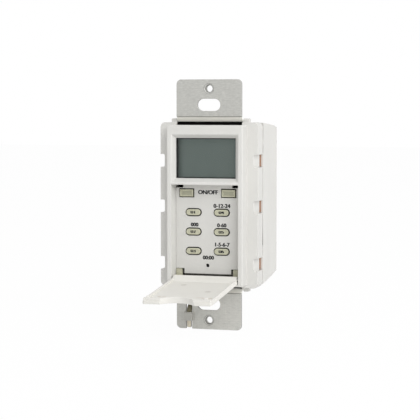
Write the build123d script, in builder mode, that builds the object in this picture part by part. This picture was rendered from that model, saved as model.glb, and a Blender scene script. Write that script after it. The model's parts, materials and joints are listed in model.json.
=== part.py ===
from build123d import *
from math import cos, radians, sin, tan
import os

# Timer light switch for a single wall box.
# X runs to the right, Y runs into the wall and Z runs up.
# The origin lies in the front plane of the two ears, midway between the wall-plate screw holes.

# Shared clearances and cutting margins
cut_over = 1.0
touch_gap = 0.05
slip_gap = 0.1
loose_gap = 0.3

# Sheet and wall thicknesses
sheet_t = 1.2
fibre_t = 0.3
wall_t = 1.6

# Keys and their holes in the keypad plate
key_x = 6.1
key_pitch = 8.12
key_row_count = 3
left_key_names = ("mode_button", "delete_button", "enter_button")
right_key_names = ("hour_button", "minute_button", "day_button")
key_hole_w = 7.05
key_hole_h = 3.4
key_gap = 0.45
key_proud = 0.6
key_edge_r = 0.3
key_flange_side = 0.4
key_flange_t = 0.5
key_stem_r = 1.2
key_stem_l = 0.3

# Keypad plate, from its top edge down, and the ledge that carries it
plate_half_w = 13.8
plate_t = 0.8
plate_gap = 0.07
first_row_drop = 11.5
reset_drop = 5.95
reset_to_plate_end = 3.51
ledge_t = 0.6
ledge_side = 1.4
ledge_top = 1.5
ledge_bottom = 1.3
key_room_side = 0.5
latch_notch_w = 3.2
latch_notch_h = 1.25
hinge_notch_h = 2.1

# Override bar
override_drop = 3.45
override_edge_margin = 1.4
override_hole_w = 6.6
override_hole_h = 3.8
override_pad_gap = 0.4
override_pad_proud = 0.5
override_bar_gap = 0.2
override_bar_h = 3.6
override_bar_t = 0.5

# Reset pinhole, plunger and switch
reset_hole_r = 0.75
reset_plunger_r = 0.5
reset_bore_gap = 0.06
reset_plunger_l = 1.2
reset_plunger_gap = 0.2
reset_switch_w = 3.4
reset_switch_h = 3.0
reset_switch_d = 1.5
reset_bore_d = 0.9

# Keypad mat
mat_side = 1.2
mat_top_drop = 1.1
mat_below_keys = 3.45
mat_t = 0.7
mat_boss_r = 1.5
mat_boss_h = 0.4

# Face of the front housing, round the bay and the display
face_proud = 6.5
face_edge_r = 0.5
face_side_rim = 1.92
face_bottom_rail = 0.9
face_top_rail = 3.8
bay_draft = 0.58
bay_depth = 4.8
bay_end_gap = 0.15
hinge_rise = 1.75
trough_h = 3.7
trough_depth = 6.2
bay_to_bezel = 0.95
bezel_bottom_slope = 1.7
bezel_side_slope = 1.58
bezel_top_slope = 1.55
bezel_depth = 2.0
bezel_lip = 0.6
display_h = 16.65

# Flange of the front housing
flange_end_step = 1.15
flange_side_room = 1.43
flange_side_wall = 3.4
flange_end_wall = 1.6
flange_d = 7.6
flange_corner_r = 2.1
rebate_side = 0.8
rebate_end = 1.45
side_notch_h = 5.35
side_notch_d = 1.85
side_notch_place_shares = (0.26705, -0.0106, -0.35777)
side_notch_r = 0.6
strap_slot_gap = 0.2
hook_w = 2.6
hook_h = 1.6
hook_setback = 2.0
hook_d = 2.4
hook_r = 0.5

# Mounting strap, from the flange outwards along each ear
strap_w = 28.25
joggle_rise = 0.35
joggle_h = 2.2
slot_from_joggle = 4.67
slot_to_hole = 6.75
hole_to_end = 3.83
ear_corner_r = 2.0
box_slot_w = 9.9
box_slot_h = 5.0
wall_hole_r = 1.4
wall_hole_collar_r = 2.2
wall_hole_collar_h = 1.5
strap_frame_side_gap = 0.7
strap_frame_end_gap = 0.25
strap_rail_w = 2.9
strap_window_margin = 0.2
strap_window_drop = 0.3

# Ground wire and the crimp that holds it on the lower ear
wire_r = 1.1
wire_core_r = 1.0
wire_y = 0.4
wire_end_rise = 0.55
wire_bend_drop = 3.3
wire_back_y = 5.0
wire_back_drop = 2.0
wire_entry_d = 5.5
wire_entry_drop = 2.1
wire_turn_run = 3.0
wire_end_inside = 1.1
crimp_x = -8.65
crimp_slot_h = 12.25
crimp_bridge_rise = 3.55
crimp_bridge_h = 3.6
crimp_jacket_cover = 1.1
crimp_side_gap = 0.2
crimp_leg_t = 0.65
crimp_bridge_t = 1.1
wire_bend_share = 0.45
wire_hole_gap = 0.15

# Door, its pins and its detent tabs
door_droop = 6.58
door_side_gap = 0.25
door_t = 1.2
door_barrel_r = 1.5
door_barrel_end_gap = 0.07
door_rim_inset = 0.15
door_rim_t = 1.1
door_rim_h = 0.8
door_rim_start = 2.0
door_lip_h = 1.3
door_lip_setback = 0.3
door_lip_t = 1.0
door_lip_inset = 0.3
door_corner_r = 0.8
finger_notch_half_w = 7.0
finger_notch_depth = 3.2
nub_inset = 2.2
nub_w = 1.4
nub_l = 0.8
nub_h = 1.8
nub_gap = 0.1
pin_r = 0.75
pin_l = 3.0
pin_cover = 0.77
pin_seat_gap = 0.01
tab_w = 2.6
tab_side_gap = 0.1
tab_slot_w = 0.95
tab_proud = 0.3
tab_overhang = 0.7
tab_top_gap = 0.2
tab_leg_clearance = 0.5
tab_leg_proud = 0.3

# Display stack
window_t = 0.8
window_margin = 0.75
lcd_t = 1.8
lcd_side_margin = 0.43
lcd_end_margin = 0.5
lcd_frame_side_wall = 0.95
lcd_frame_end_wall = 1.4
lcd_frame_lip_t = 0.5
lcd_frame_lip_inset = 0.27
connector_h = 1.6
connector_inset = 0.6

# Display board and what it carries
display_board_t = 1.2
display_board_side_gap = 0.6
display_board_top_gap = 0.7
display_board_bottom_gap = 1.1
chip_side = 10.0
chip_t = 1.4
chip_drop = 15.5
chip_lead_l = 0.9
chip_lead_t = 0.4
crystal_r = 1.0
crystal_l = 6.2
crystal_gap = 0.3
battery_r = 5.4
battery_t = 3.2
battery_drop = 37.5
battery_edge_r = 0.3
header_h = 2.5
header_rise = 3.4
header_pin_side = 0.6
header_pin_pitch = 2.5
header_pin_count = 6
header_block_share = 0.6

# Power board
power_board_t = 1.6
power_board_gap = 0.1
power_board_end_gap = 0.3
board_relief_h = 0.45
board_relief_d = 0.7
rebate_depth = 1.2

# Rear housing
seam_gap = 0.4
seam_groove_w = 0.4
seam_groove_d = 1.1
rear_overhang = 0.05
rear_d = 23.7
rear_top_step = 0.15
rear_top_slope_d = 18.0
rear_top_slope_h = 1.2
rear_top_back_drop = 0.9
rear_bottom_step = 0.95
rear_bottom_slope_d = 16.0
rear_bottom_slope_h = 2.2
rear_bottom_back_rise = 1.6
rear_back_r = 0.6
tongue_slope = 0.8
lead_hole_r = 1.8
lead_hole_pitch_w = 18.0
lead_hole_pitch_h = 16.0
lead_collar_r = 3.0
lead_collar_h = 0.8

# Housing screws
screw_side_inset = 2.2
screw_place_shares = (0.3774, -0.26125)
screw_r = 0.9
screw_hole_gap = 0.15
screw_thread_gap = 0.02
screw_head_r = 1.5
screw_head_t = 1.2
screw_head_gap = 0.2
screw_shank_l = 11.0
screw_seat_depth = 6.0
screw_tube_r = 2.2
screw_drive_w = 0.35
screw_drive_l = 2.0
screw_drive_d = 0.6

# Parts on the back of the power board
part_gap = 1.0
relay_w = 19.0
relay_h = 15.4
relay_d = 15.2
relay_drop = 9.5
relay_edge_r = 0.6
film_cap_w = 17.5
film_cap_h = 8.0
film_cap_d = 13.5
film_cap_edge_r = 0.5
can_large_r = 5.0
can_large_l = 12.5
can_small_r = 4.0
can_small_l = 11.5
can_edge_r = 0.6
disc_r = 5.2
disc_t = 4.0
disc_edge_r = 1.0
disc_lift = 1.4
disc_leg_r = 0.4
disc_leg_pitch = 6.0
diode_r = 1.35
diode_l = 5.2
diode_pitch = 5.0
diode_count = 4
terminal_w = 3.6
terminal_pitch = 4.7
terminal_count = 3
terminal_t = 0.8
terminal_l = 8.0
terminal_base_w = 2.4
terminal_base_l = 2.0

# Heights, from the plate's foot upwards: the face is centred on the origin
plate_h = first_row_drop + (key_row_count - 1) * key_pitch + reset_drop + reset_to_plate_end
bay_h = trough_h + plate_h + bay_end_gap
face_h = (
    face_bottom_rail + bay_h + bay_to_bezel
    + bezel_bottom_slope + display_h + bezel_top_slope + face_top_rail
)
face_top = face_h / 2
bay_bottom = -face_top + face_bottom_rail
plate_bottom = bay_bottom + trough_h
plate_top = plate_bottom + plate_h
bay_top = plate_top + bay_end_gap
bezel_outer_bottom = bay_top + bay_to_bezel
display_bottom = bezel_outer_bottom + bezel_bottom_slope
display_top = display_bottom + display_h
bezel_outer_top = display_top + bezel_top_slope
first_row_z = plate_top - first_row_drop
key_zs = [first_row_z - row * key_pitch for row in range(key_row_count)]
last_row_z = key_zs[-1]
reset_z = last_row_z - reset_drop
override_z = plate_top - override_drop
key_h = key_hole_h - 2 * key_gap
key_flange_h = key_hole_h + 2 * key_flange_side
override_pad_h = override_hole_h - 2 * override_pad_gap
latch_notch_bottom = plate_top - latch_notch_h
hinge_notch_top = plate_bottom + hinge_notch_h
tab_top = hinge_notch_top - tab_top_gap
tab_bottom = plate_bottom - tab_overhang
tab_leg_bottom = bay_bottom + tab_leg_clearance
mat_top = plate_top - mat_top_drop
ledge_window_top = plate_top - ledge_top
ledge_window_bottom = plate_bottom + ledge_bottom
override_bar_top = ledge_window_top - override_bar_gap
override_bar_bottom = override_bar_top - override_bar_h
override_bar_z = (override_bar_top + override_bar_bottom) / 2
mat_bottom = last_row_z - mat_below_keys
lcd_top = display_top + lcd_end_margin
lcd_bottom = display_bottom - lcd_end_margin
lcd_frame_top = lcd_top + touch_gap + lcd_frame_end_wall
lcd_frame_bottom = lcd_bottom - touch_gap - lcd_frame_end_wall
display_pocket_top = lcd_frame_top + slip_gap
display_pocket_bottom = lcd_frame_bottom - slip_gap
strap_window_top = display_pocket_top + strap_window_margin
strap_window_bottom = plate_bottom - strap_window_drop
display_board_top = strap_window_top - display_board_top_gap
display_board_bottom = strap_window_bottom + display_board_bottom_gap
chip_z = display_board_top - chip_drop
battery_z = display_board_top - battery_drop
header_z = display_board_bottom + header_rise
flange_top = face_top + flange_end_step
flange_h = 2 * flange_top
flange_cavity_top = flange_top - flange_end_wall
rebate_top = flange_top - rebate_end
joggle_end_z = flange_top + joggle_rise
joggle_start_z = joggle_end_z + joggle_h
fibre_top = joggle_end_z - slip_gap
box_slot_z = joggle_start_z + slot_from_joggle
wall_hole_z = box_slot_z + slot_to_hole
strap_top = wall_hole_z + hole_to_end
strap_frame_top = flange_cavity_top - strap_frame_end_gap
side_notch_zs = [share * flange_h for share in side_notch_place_shares]
screw_zs = [share * flange_h for share in screw_place_shares]

# Half widths, from the keypad plate outwards
bay_floor_half_w = plate_half_w + plate_gap
bay_front_half_w = bay_floor_half_w + bay_draft
face_half_w = bay_front_half_w + face_side_rim
flange_cavity_half_w = face_half_w + flange_side_room
flange_half_w = flange_cavity_half_w + flange_side_wall
rebate_half_w = flange_half_w - rebate_side
rear_half_w = flange_half_w + rear_overhang
strap_frame_half_w = flange_cavity_half_w - strap_frame_side_gap
strap_window_half_w = strap_frame_half_w - strap_rail_w
strap_slot_half_w = strap_w / 2 + strap_slot_gap
display_half_w = bay_front_half_w - bezel_side_slope
lcd_half_w = display_half_w + lcd_side_margin
lcd_frame_half_w = lcd_half_w + touch_gap + lcd_frame_side_wall
display_pocket_half_w = lcd_frame_half_w + slip_gap
display_board_half_w = strap_window_half_w - display_board_side_gap
fibre_window_half_w = strap_window_half_w - loose_gap
chip_pad_half = chip_side / 2 + chip_lead_l
crystal_x = chip_pad_half + crystal_gap + crystal_l / 2
header_w = header_pin_count * header_pin_pitch
ledge_window_half_w = plate_half_w - ledge_side
key_w = key_hole_w - 2 * key_gap
key_flange_w = key_hole_w + 2 * key_flange_side
override_pad_w = override_hole_w - 2 * override_pad_gap
key_room_half_w = ledge_window_half_w + key_room_side
mat_half_w = plate_half_w - mat_side
override_x = plate_half_w - override_edge_margin - override_hole_w / 2
override_bar_half_w = ledge_window_half_w - override_bar_gap
latch_notch_inner = plate_half_w - latch_notch_w
tab_outer = plate_half_w - tab_side_gap
tab_inner = tab_outer - tab_w
hinge_notch_inner = tab_inner - tab_slot_w
screw_x = flange_half_w - screw_side_inset
board_parts_half_w = screw_x - screw_tube_r - loose_gap

# Depths, from the face inwards
face_y = -face_proud
bezel_y = face_y + bezel_depth
lens_front_y = bezel_y + bezel_lip
lens_back_y = lens_front_y + window_t
lcd_front_y = lens_back_y + lcd_frame_lip_t
lcd_back_y = lcd_front_y + lcd_t
plate_front_y = face_y + bay_depth
ledge_front_y = plate_front_y + plate_t
ledge_back_y = ledge_front_y + ledge_t
trough_back_y = face_y + trough_depth
flange_inner_y = wall_t
mat_front_y = flange_inner_y - mat_t
key_flange_y = ledge_front_y + touch_gap
reset_plunger_front = ledge_front_y + reset_plunger_gap
tab_front_y = plate_front_y - tab_proud
tab_leg_front_y = tab_front_y - tab_leg_proud
fibre_back_y = flange_inner_y + fibre_t
strap_back_y = fibre_back_y + sheet_t
display_board_back_y = flange_inner_y + display_board_t
board_rebate_y = flange_d - rebate_depth
power_board_back_y = board_rebate_y + power_board_t
rear_front_y = flange_d + seam_gap
rear_wall_y = rear_front_y + seam_groove_w
rear_back_y = rear_front_y + rear_d
rear_inner_y = rear_back_y - wall_t
screw_seat_y = rear_front_y + screw_seat_depth
screw_tip_y = screw_seat_y - screw_shank_l
rear_top_break_y = rear_front_y + rear_top_slope_d
rear_bottom_break_y = rear_front_y + rear_bottom_slope_d

# Outline of the rear housing's side
rear_top_front_z = flange_top - rear_top_step
rear_top_break_z = rear_top_front_z - rear_top_slope_h
rear_top_back_z = rear_top_break_z - rear_top_back_drop
rear_bottom_front_z = -flange_top + rear_bottom_step
rear_bottom_break_z = rear_bottom_front_z + rear_bottom_slope_h
rear_bottom_back_z = rear_bottom_break_z + rear_bottom_back_rise

# Places of the parts on the power board
power_board_half_w = rebate_half_w - power_board_gap
notch_floor_back_half_w = power_board_half_w - slip_gap
power_board_top = rebate_top - power_board_end_gap
relay_x = -board_parts_half_w + relay_w / 2
relay_z = power_board_top - relay_drop - relay_h / 2
film_cap_x = -board_parts_half_w + film_cap_w / 2
film_cap_z = relay_z - relay_h / 2 - part_gap - film_cap_h / 2
can_large_x = board_parts_half_w - can_large_r
can_large_z = relay_z - relay_h / 2 - part_gap - can_large_r
can_small_x = board_parts_half_w - can_small_r
can_small_z = can_large_z - can_large_r - part_gap - can_small_r
disc_x = board_parts_half_w - disc_t / 2
disc_z = relay_z
diode_x = -board_parts_half_w + diode_r
diode_z = film_cap_z - film_cap_h / 2 - part_gap - diode_l / 2
terminal_x = board_parts_half_w - terminal_w / 2 - (terminal_count - 1) * terminal_pitch
terminal_z = can_small_z - can_small_r - part_gap - terminal_base_w / 2

# Hinge, and the door's heights above the line through its pins, towards its inner face
hinge_y = face_y + door_barrel_r
hinge_z = bay_bottom + hinge_rise
door_length = plate_top - hinge_z
door_half_w = bay_front_half_w - door_side_gap
door_barrel_half_l = bay_floor_half_w - door_barrel_end_gap
door_outer_h = -door_barrel_r
door_inner_h = door_outer_h + door_t
door_rim_top_h = door_inner_h + door_rim_h
door_lip_top_h = door_inner_h + door_lip_h
lip_outer_l = door_length - door_lip_setback
lip_inner_l = lip_outer_l - door_lip_t
lip_half_w = door_half_w - door_lip_inset
finger_notch_r = (finger_notch_half_w**2 + finger_notch_depth**2) / (2 * finger_notch_depth)
finger_notch_l = door_length - finger_notch_depth + finger_notch_r
nub_x = door_half_w - nub_inset
nub_start = latch_notch_bottom + nub_gap - hinge_z
pin_outer_x = face_half_w - pin_cover

# The crimp, and the ground wire's route of (y, z) points at the crimp's x
bridge_inner_y = wire_y - wire_r - touch_gap
crimp_slot_half_w = wire_r + crimp_side_gap
crimp_bridge_half_w = crimp_slot_half_w + crimp_leg_t
crimp_slot_top = -strap_top + crimp_slot_h
crimp_bridge_bottom = -strap_top + crimp_bridge_rise
crimp_bridge_top = crimp_bridge_bottom + crimp_bridge_h
wire_end_z = -strap_top + wire_end_rise
wire_jacket_z = crimp_bridge_bottom + crimp_jacket_cover
wire_entry_y = rear_front_y + wire_entry_d
wire_entry_z = rear_bottom_front_z - wire_entry_drop
wire_inner_z = rear_bottom_break_z + wire_end_inside
wire_route = [
    (wire_y, wire_jacket_z),
    (wire_y, crimp_slot_top - wire_bend_drop),
    (wire_back_y, crimp_slot_top - wire_back_drop),
    (wire_entry_y - wire_turn_run, wire_entry_z - wire_turn_run),
    (wire_entry_y, wire_entry_z),
    (wire_entry_y, wire_inner_z),
]

os.makedirs("parts", exist_ok=True)


def facing(depth):
    """The upright plane at a depth, seen from the front."""
    return Plane.XZ.offset(-depth)


def slab(front, back, left, right, bottom, top, mode=Mode.ADD):
    """A block between two depths, two sides and two heights."""
    with BuildSketch(facing(front)) as outline:
        with Locations(((left + right) / 2, (bottom + top) / 2)):
            Rectangle(right - left, top - bottom)
    extrude(outline.sketch, amount=front - back, mode=mode)


def rounded_slab(front, back, width, height, radius, x=0.0, z=0.0, mode=Mode.ADD):
    """A block with rounded upright corners between two depths."""
    with BuildSketch(facing(front)) as outline:
        with Locations((x, z)):
            RectangleRounded(width, height, radius)
    extrude(outline.sketch, amount=front - back, mode=mode)


def oblong(front, back, width, height, x=0.0, z=0.0, mode=Mode.ADD):
    """A block with half-round ends between two depths."""
    with BuildSketch(facing(front)) as outline:
        with Locations((x, z)):
            SlotOverall(width, height)
    extrude(outline.sketch, amount=front - back, mode=mode)


def rod(front, back, radius, x=0.0, z=0.0, mode=Mode.ADD):
    """A round bar between two depths."""
    with BuildSketch(facing(front)) as outline:
        with Locations((x, z)):
            Circle(radius)
    extrude(outline.sketch, amount=front - back, mode=mode)


def tapered_opening(front, back, front_box, back_box, mode=Mode.SUBTRACT):
    """A four-sided funnel between two rectangles, each (left, right, bottom, top)."""
    faces = []
    for depth, (left, right, bottom, top) in ((front, front_box), (back, back_box)):
        with BuildSketch(facing(depth)) as outline:
            with Locations(((left + right) / 2, (bottom + top) / 2)):
                Rectangle(right - left, top - bottom)
        faces.append(outline.sketch)
    loft(faces, ruled=True, mode=mode)


def save(piece, name):
    """Label a finished piece and write it under its name."""
    piece.part.label = name
    export_step(piece.part, "parts/" + name + ".step")


# Mounting strap
with BuildPart() as mounting_strap:
    for side in (1, -1):
        with BuildSketch(facing(0)) as ear:
            with Locations((0, side * (strap_top + joggle_start_z) / 2)):
                Rectangle(strap_w, strap_top - joggle_start_z)
            outer = ear.vertices().group_by(Axis.Y)[-1 if side > 0 else 0]
            fillet(outer, ear_corner_r)
        extrude(ear.sketch, amount=-sheet_t)
        with BuildSketch(Plane.YZ) as joggle:
            with BuildLine():
                Polyline(
                    (0, side * joggle_start_z),
                    (sheet_t, side * joggle_start_z),
                    (strap_back_y, side * joggle_end_z),
                    (fibre_back_y, side * joggle_end_z),
                    close=True,
                )
            make_face()
        extrude(joggle.sketch, amount=strap_w / 2, both=True)
    slab(fibre_back_y, strap_back_y, -strap_w / 2, strap_w / 2, -joggle_end_z, joggle_end_z)
    slab(
        fibre_back_y, strap_back_y,
        -strap_frame_half_w, strap_frame_half_w, -strap_frame_top, strap_frame_top,
    )
    slab(
        fibre_back_y - cut_over, strap_back_y + cut_over,
        -strap_window_half_w, strap_window_half_w, strap_window_bottom, strap_window_top,
        mode=Mode.SUBTRACT,
    )
    for side in (1, -1):
        hole_z = side * wall_hole_z
        rod(sheet_t, sheet_t + wall_hole_collar_h, wall_hole_collar_r, z=hole_z)
        rod(-cut_over, sheet_t + wall_hole_collar_h + cut_over, wall_hole_r, z=hole_z, mode=Mode.SUBTRACT)
        oblong(
            -cut_over, sheet_t + cut_over, box_slot_w, box_slot_h,
            z=side * box_slot_z, mode=Mode.SUBTRACT,
        )
    slab(
        -cut_over, sheet_t + cut_over,
        crimp_x - crimp_slot_half_w, crimp_x + crimp_slot_half_w, -strap_top - cut_over, crimp_slot_top,
        mode=Mode.SUBTRACT,
    )
    slab(
        bridge_inner_y - crimp_bridge_t, sheet_t,
        crimp_x - crimp_bridge_half_w, crimp_x + crimp_bridge_half_w, crimp_bridge_bottom, crimp_bridge_top,
    )
    bridge_edges = mounting_strap.edges().filter_by(Axis.Z).group_by(Axis.Y)[0]
    fillet(bridge_edges, crimp_bridge_t / 2)
    slab(
        bridge_inner_y, sheet_t + cut_over,
        crimp_x - crimp_slot_half_w, crimp_x + crimp_slot_half_w,
        crimp_bridge_bottom - cut_over, crimp_bridge_top + cut_over,
        mode=Mode.SUBTRACT,
    )
save(mounting_strap, "mounting_strap")

# Insulating sheet between the flange's front wall and the strap
with BuildPart() as insulating_sheet:
    slab(flange_inner_y, fibre_back_y, -strap_w / 2, strap_w / 2, -fibre_top, fibre_top)
    slab(
        flange_inner_y, fibre_back_y,
        -strap_frame_half_w, strap_frame_half_w, -strap_frame_top, strap_frame_top,
    )
    slab(
        flange_inner_y - cut_over, fibre_back_y + cut_over,
        -fibre_window_half_w, fibre_window_half_w,
        strap_window_bottom + loose_gap, strap_window_top - loose_gap,
        mode=Mode.SUBTRACT,
    )
save(insulating_sheet, "insulating_sheet")

# Front housing
with BuildPart() as front_housing:
    slab(face_y, flange_inner_y, -face_half_w, face_half_w, -face_top, face_top)
    fillet(front_housing.edges().filter_by(Axis.Y), face_edge_r)
    fillet(front_housing.faces().sort_by(Axis.Y)[0].edges(), face_edge_r)
    rounded_slab(0, flange_d, 2 * flange_half_w, flange_h, flange_corner_r)
    rounded_slab(
        flange_inner_y, flange_d + cut_over, 2 * flange_cavity_half_w, 2 * flange_cavity_top,
        flange_corner_r / 2, mode=Mode.SUBTRACT,
    )
    rounded_slab(
        board_rebate_y, flange_d + cut_over, 2 * rebate_half_w, 2 * rebate_top, flange_corner_r / 2,
        mode=Mode.SUBTRACT,
    )
    for side in (1, -1):
        # The strap leaves through the top and bottom walls, and the fibre sheet shows there
        slab(
            -cut_over, strap_back_y + strap_slot_gap, -strap_slot_half_w, strap_slot_half_w,
            *sorted((side * face_top, side * (flange_top + cut_over))),
            mode=Mode.SUBTRACT,
        )
        slab(
            flange_inner_y, strap_back_y + strap_slot_gap, -strap_slot_half_w, strap_slot_half_w,
            *sorted((side * (flange_cavity_top - cut_over), side * (flange_top + cut_over))),
            mode=Mode.SUBTRACT,
        )
        for notch_z in side_notch_zs:
            notch_inner = flange_half_w - side_notch_d
            rounded_slab(
                -cut_over, flange_d + cut_over, 2 * side_notch_d, side_notch_h, side_notch_r,
                x=side * (notch_inner + side_notch_d), z=notch_z, mode=Mode.SUBTRACT,
            )
            # The notch's floor slopes out to the edge of the power board
            with BuildSketch(Plane.XY.offset(notch_z - side_notch_h / 2)) as notch_floor:
                with BuildLine():
                    Polyline(
                        (side * notch_inner, 0),
                        (side * notch_floor_back_half_w, board_rebate_y),
                        (side * notch_inner, board_rebate_y),
                        close=True,
                    )
                make_face()
            extrude(notch_floor.sketch, amount=side_notch_h)
        for end in (1, -1):
            rounded_slab(
                hook_setback, hook_setback + hook_d, hook_w, 2 * hook_h, hook_r,
                x=side * (strap_slot_half_w + hook_w / 2), z=end * flange_top,
            )
        for screw_z in screw_zs:
            rod(
                screw_tip_y - touch_gap, flange_d + cut_over, screw_r + screw_thread_gap,
                x=side * screw_x, z=screw_z, mode=Mode.SUBTRACT,
            )
    tapered_opening(
        face_y, bezel_y,
        (-bay_front_half_w, bay_front_half_w, bezel_outer_bottom, bezel_outer_top),
        (-display_half_w, display_half_w, display_bottom, display_top),
    )
    slab(
        bezel_y, lens_front_y, -display_half_w, display_half_w, display_bottom, display_top,
        mode=Mode.SUBTRACT,
    )
    slab(
        lens_front_y, flange_inner_y + cut_over,
        -display_pocket_half_w, display_pocket_half_w, display_pocket_bottom, display_pocket_top,
        mode=Mode.SUBTRACT,
    )
    tapered_opening(
        face_y, plate_front_y,
        (-bay_front_half_w, bay_front_half_w, bay_bottom, bay_top),
        (-bay_floor_half_w, bay_floor_half_w, bay_bottom, bay_top),
    )
    slab(
        plate_front_y, ledge_front_y, -bay_floor_half_w, bay_floor_half_w, plate_bottom, bay_top,
        mode=Mode.SUBTRACT,
    )
    slab(
        plate_front_y, trough_back_y, -bay_floor_half_w, bay_floor_half_w, bay_bottom, plate_bottom,
        mode=Mode.SUBTRACT,
    )
    slab(
        ledge_front_y, ledge_back_y,
        -ledge_window_half_w, ledge_window_half_w, ledge_window_bottom, ledge_window_top,
        mode=Mode.SUBTRACT,
    )
    slab(
        ledge_back_y, flange_inner_y + cut_over,
        -key_room_half_w, key_room_half_w, ledge_window_bottom, plate_top,
        mode=Mode.SUBTRACT,
    )
    for side in (1, -1):
        slab(
            ledge_front_y, ledge_back_y,
            *sorted((side * latch_notch_inner, side * key_room_half_w)),
            latch_notch_bottom, plate_top,
            mode=Mode.SUBTRACT,
        )
        with BuildSketch(Plane.YZ.offset(side * (pin_outer_x + slip_gap))) as pin_hole:
            with Locations((hinge_y, hinge_z)):
                Circle(pin_r + touch_gap)
        extrude(
            pin_hole.sketch, amount=-side * (pin_outer_x + slip_gap - bay_floor_half_w),
            mode=Mode.SUBTRACT,
        )
save(front_housing, "front_housing")

# Keypad plate
with BuildPart() as keypad_plate:
    slab(
        plate_front_y, ledge_front_y,
        -plate_half_w, plate_half_w, plate_bottom, plate_top,
    )
    for side in (1, -1):
        slab(
            plate_front_y - cut_over, ledge_front_y + cut_over,
            *sorted((side * latch_notch_inner, side * (bay_floor_half_w + cut_over))),
            latch_notch_bottom, plate_top + cut_over,
            mode=Mode.SUBTRACT,
        )
        slab(
            plate_front_y - cut_over, ledge_front_y + cut_over,
            *sorted((side * hinge_notch_inner, side * (bay_floor_half_w + cut_over))),
            plate_bottom - cut_over, hinge_notch_top,
            mode=Mode.SUBTRACT,
        )
        slab(
            plate_front_y - cut_over, ledge_front_y + cut_over,
            side * override_x - override_hole_w / 2, side * override_x + override_hole_w / 2,
            override_z - override_hole_h / 2, override_z + override_hole_h / 2,
            mode=Mode.SUBTRACT,
        )
        for key_z in key_zs:
            oblong(
                plate_front_y - cut_over, ledge_front_y + cut_over, key_hole_w, key_hole_h,
                x=side * key_x, z=key_z, mode=Mode.SUBTRACT,
            )
    rod(
        plate_front_y - cut_over, ledge_front_y + cut_over, reset_hole_r, z=reset_z,
        mode=Mode.SUBTRACT,
    )
save(keypad_plate, "keypad_plate")

# The six keys, each held behind the plate by its own flange
for column, key_names in ((-1, left_key_names), (1, right_key_names)):
    for key_name, key_z in zip(key_names, key_zs):
        x = column * key_x
        with BuildPart() as key:
            oblong(plate_front_y - key_proud, key_flange_y, key_w, key_h, x=x, z=key_z)
            fillet(key.faces().sort_by(Axis.Y)[0].edges(), key_edge_r)
            oblong(
                key_flange_y, key_flange_y + key_flange_t, key_flange_w, key_flange_h,
                x=x, z=key_z,
            )
            rod(
                key_flange_y + key_flange_t, key_flange_y + key_flange_t + key_stem_l,
                key_stem_r, x=x, z=key_z,
            )
        save(key, key_name)

# Override bar: two pads on one bar behind the plate
with BuildPart() as override_bar:
    for side in (1, -1):
        slab(
            plate_front_y - override_pad_proud, key_flange_y,
            side * override_x - override_pad_w / 2, side * override_x + override_pad_w / 2,
            override_z - override_pad_h / 2, override_z + override_pad_h / 2,
        )
    fillet(override_bar.faces().group_by(Axis.Y)[0].edges(), key_edge_r)
    slab(
        key_flange_y, key_flange_y + override_bar_t,
        -override_bar_half_w, override_bar_half_w, override_bar_bottom, override_bar_top,
    )
    for side in (1, -1):
        rod(
            key_flange_y + override_bar_t, key_flange_y + override_bar_t + key_stem_l,
            key_stem_r, x=side * override_x, z=override_bar_z,
        )
save(override_bar, "override_bar")

# Rubber mat on the display board, with a boss behind each key
with BuildPart() as keypad_mat:
    slab(mat_front_y, flange_inner_y, -mat_half_w, mat_half_w, mat_bottom, mat_top)
    for side in (1, -1):
        for key_z in key_zs:
            rod(mat_front_y - mat_boss_h, mat_front_y, mat_boss_r, x=side * key_x, z=key_z)
        rod(
            mat_front_y - mat_boss_h, mat_front_y, mat_boss_r,
            x=side * override_x, z=override_bar_z,
        )
save(keypad_mat, "keypad_mat")

# Reset switch on the display board, and its plunger behind the pinhole
with BuildPart() as reset_switch:
    slab(
        flange_inner_y - reset_switch_d, flange_inner_y,
        -reset_switch_w / 2, reset_switch_w / 2,
        reset_z - reset_switch_h / 2, reset_z + reset_switch_h / 2,
    )
    rod(
        flange_inner_y - reset_switch_d, flange_inner_y - reset_switch_d + reset_bore_d,
        reset_plunger_r + reset_bore_gap, z=reset_z, mode=Mode.SUBTRACT,
    )
save(reset_switch, "reset_switch")

with BuildPart() as reset_plunger:
    rod(reset_plunger_front, reset_plunger_front + reset_plunger_l, reset_plunger_r, z=reset_z)
save(reset_plunger, "reset_plunger")

# Door, drooping below horizontal at rest. Its plane's y runs from the hinge to the free end
# and its plane's z points to the outer face. The side plane's y points to the inner face.
door_plane = Plane(
    origin=(0, hinge_y, hinge_z),
    x_dir=(1, 0, 0),
    z_dir=(0, sin(radians(door_droop)), -cos(radians(door_droop))),
)
door_side_plane = Plane(origin=(0, hinge_y, hinge_z), x_dir=door_plane.y_dir, z_dir=(-1, 0, 0))


def door_bar(points, x, width, mode=Mode.ADD):
    """A bar across the door whose section is a list of (length, height) points."""
    with BuildSketch(door_side_plane.offset(-x)) as section:
        with BuildLine():
            Polyline(*points, close=True)
        make_face()
    extrude(section.sketch, amount=width / 2, both=True, mode=mode)


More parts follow.
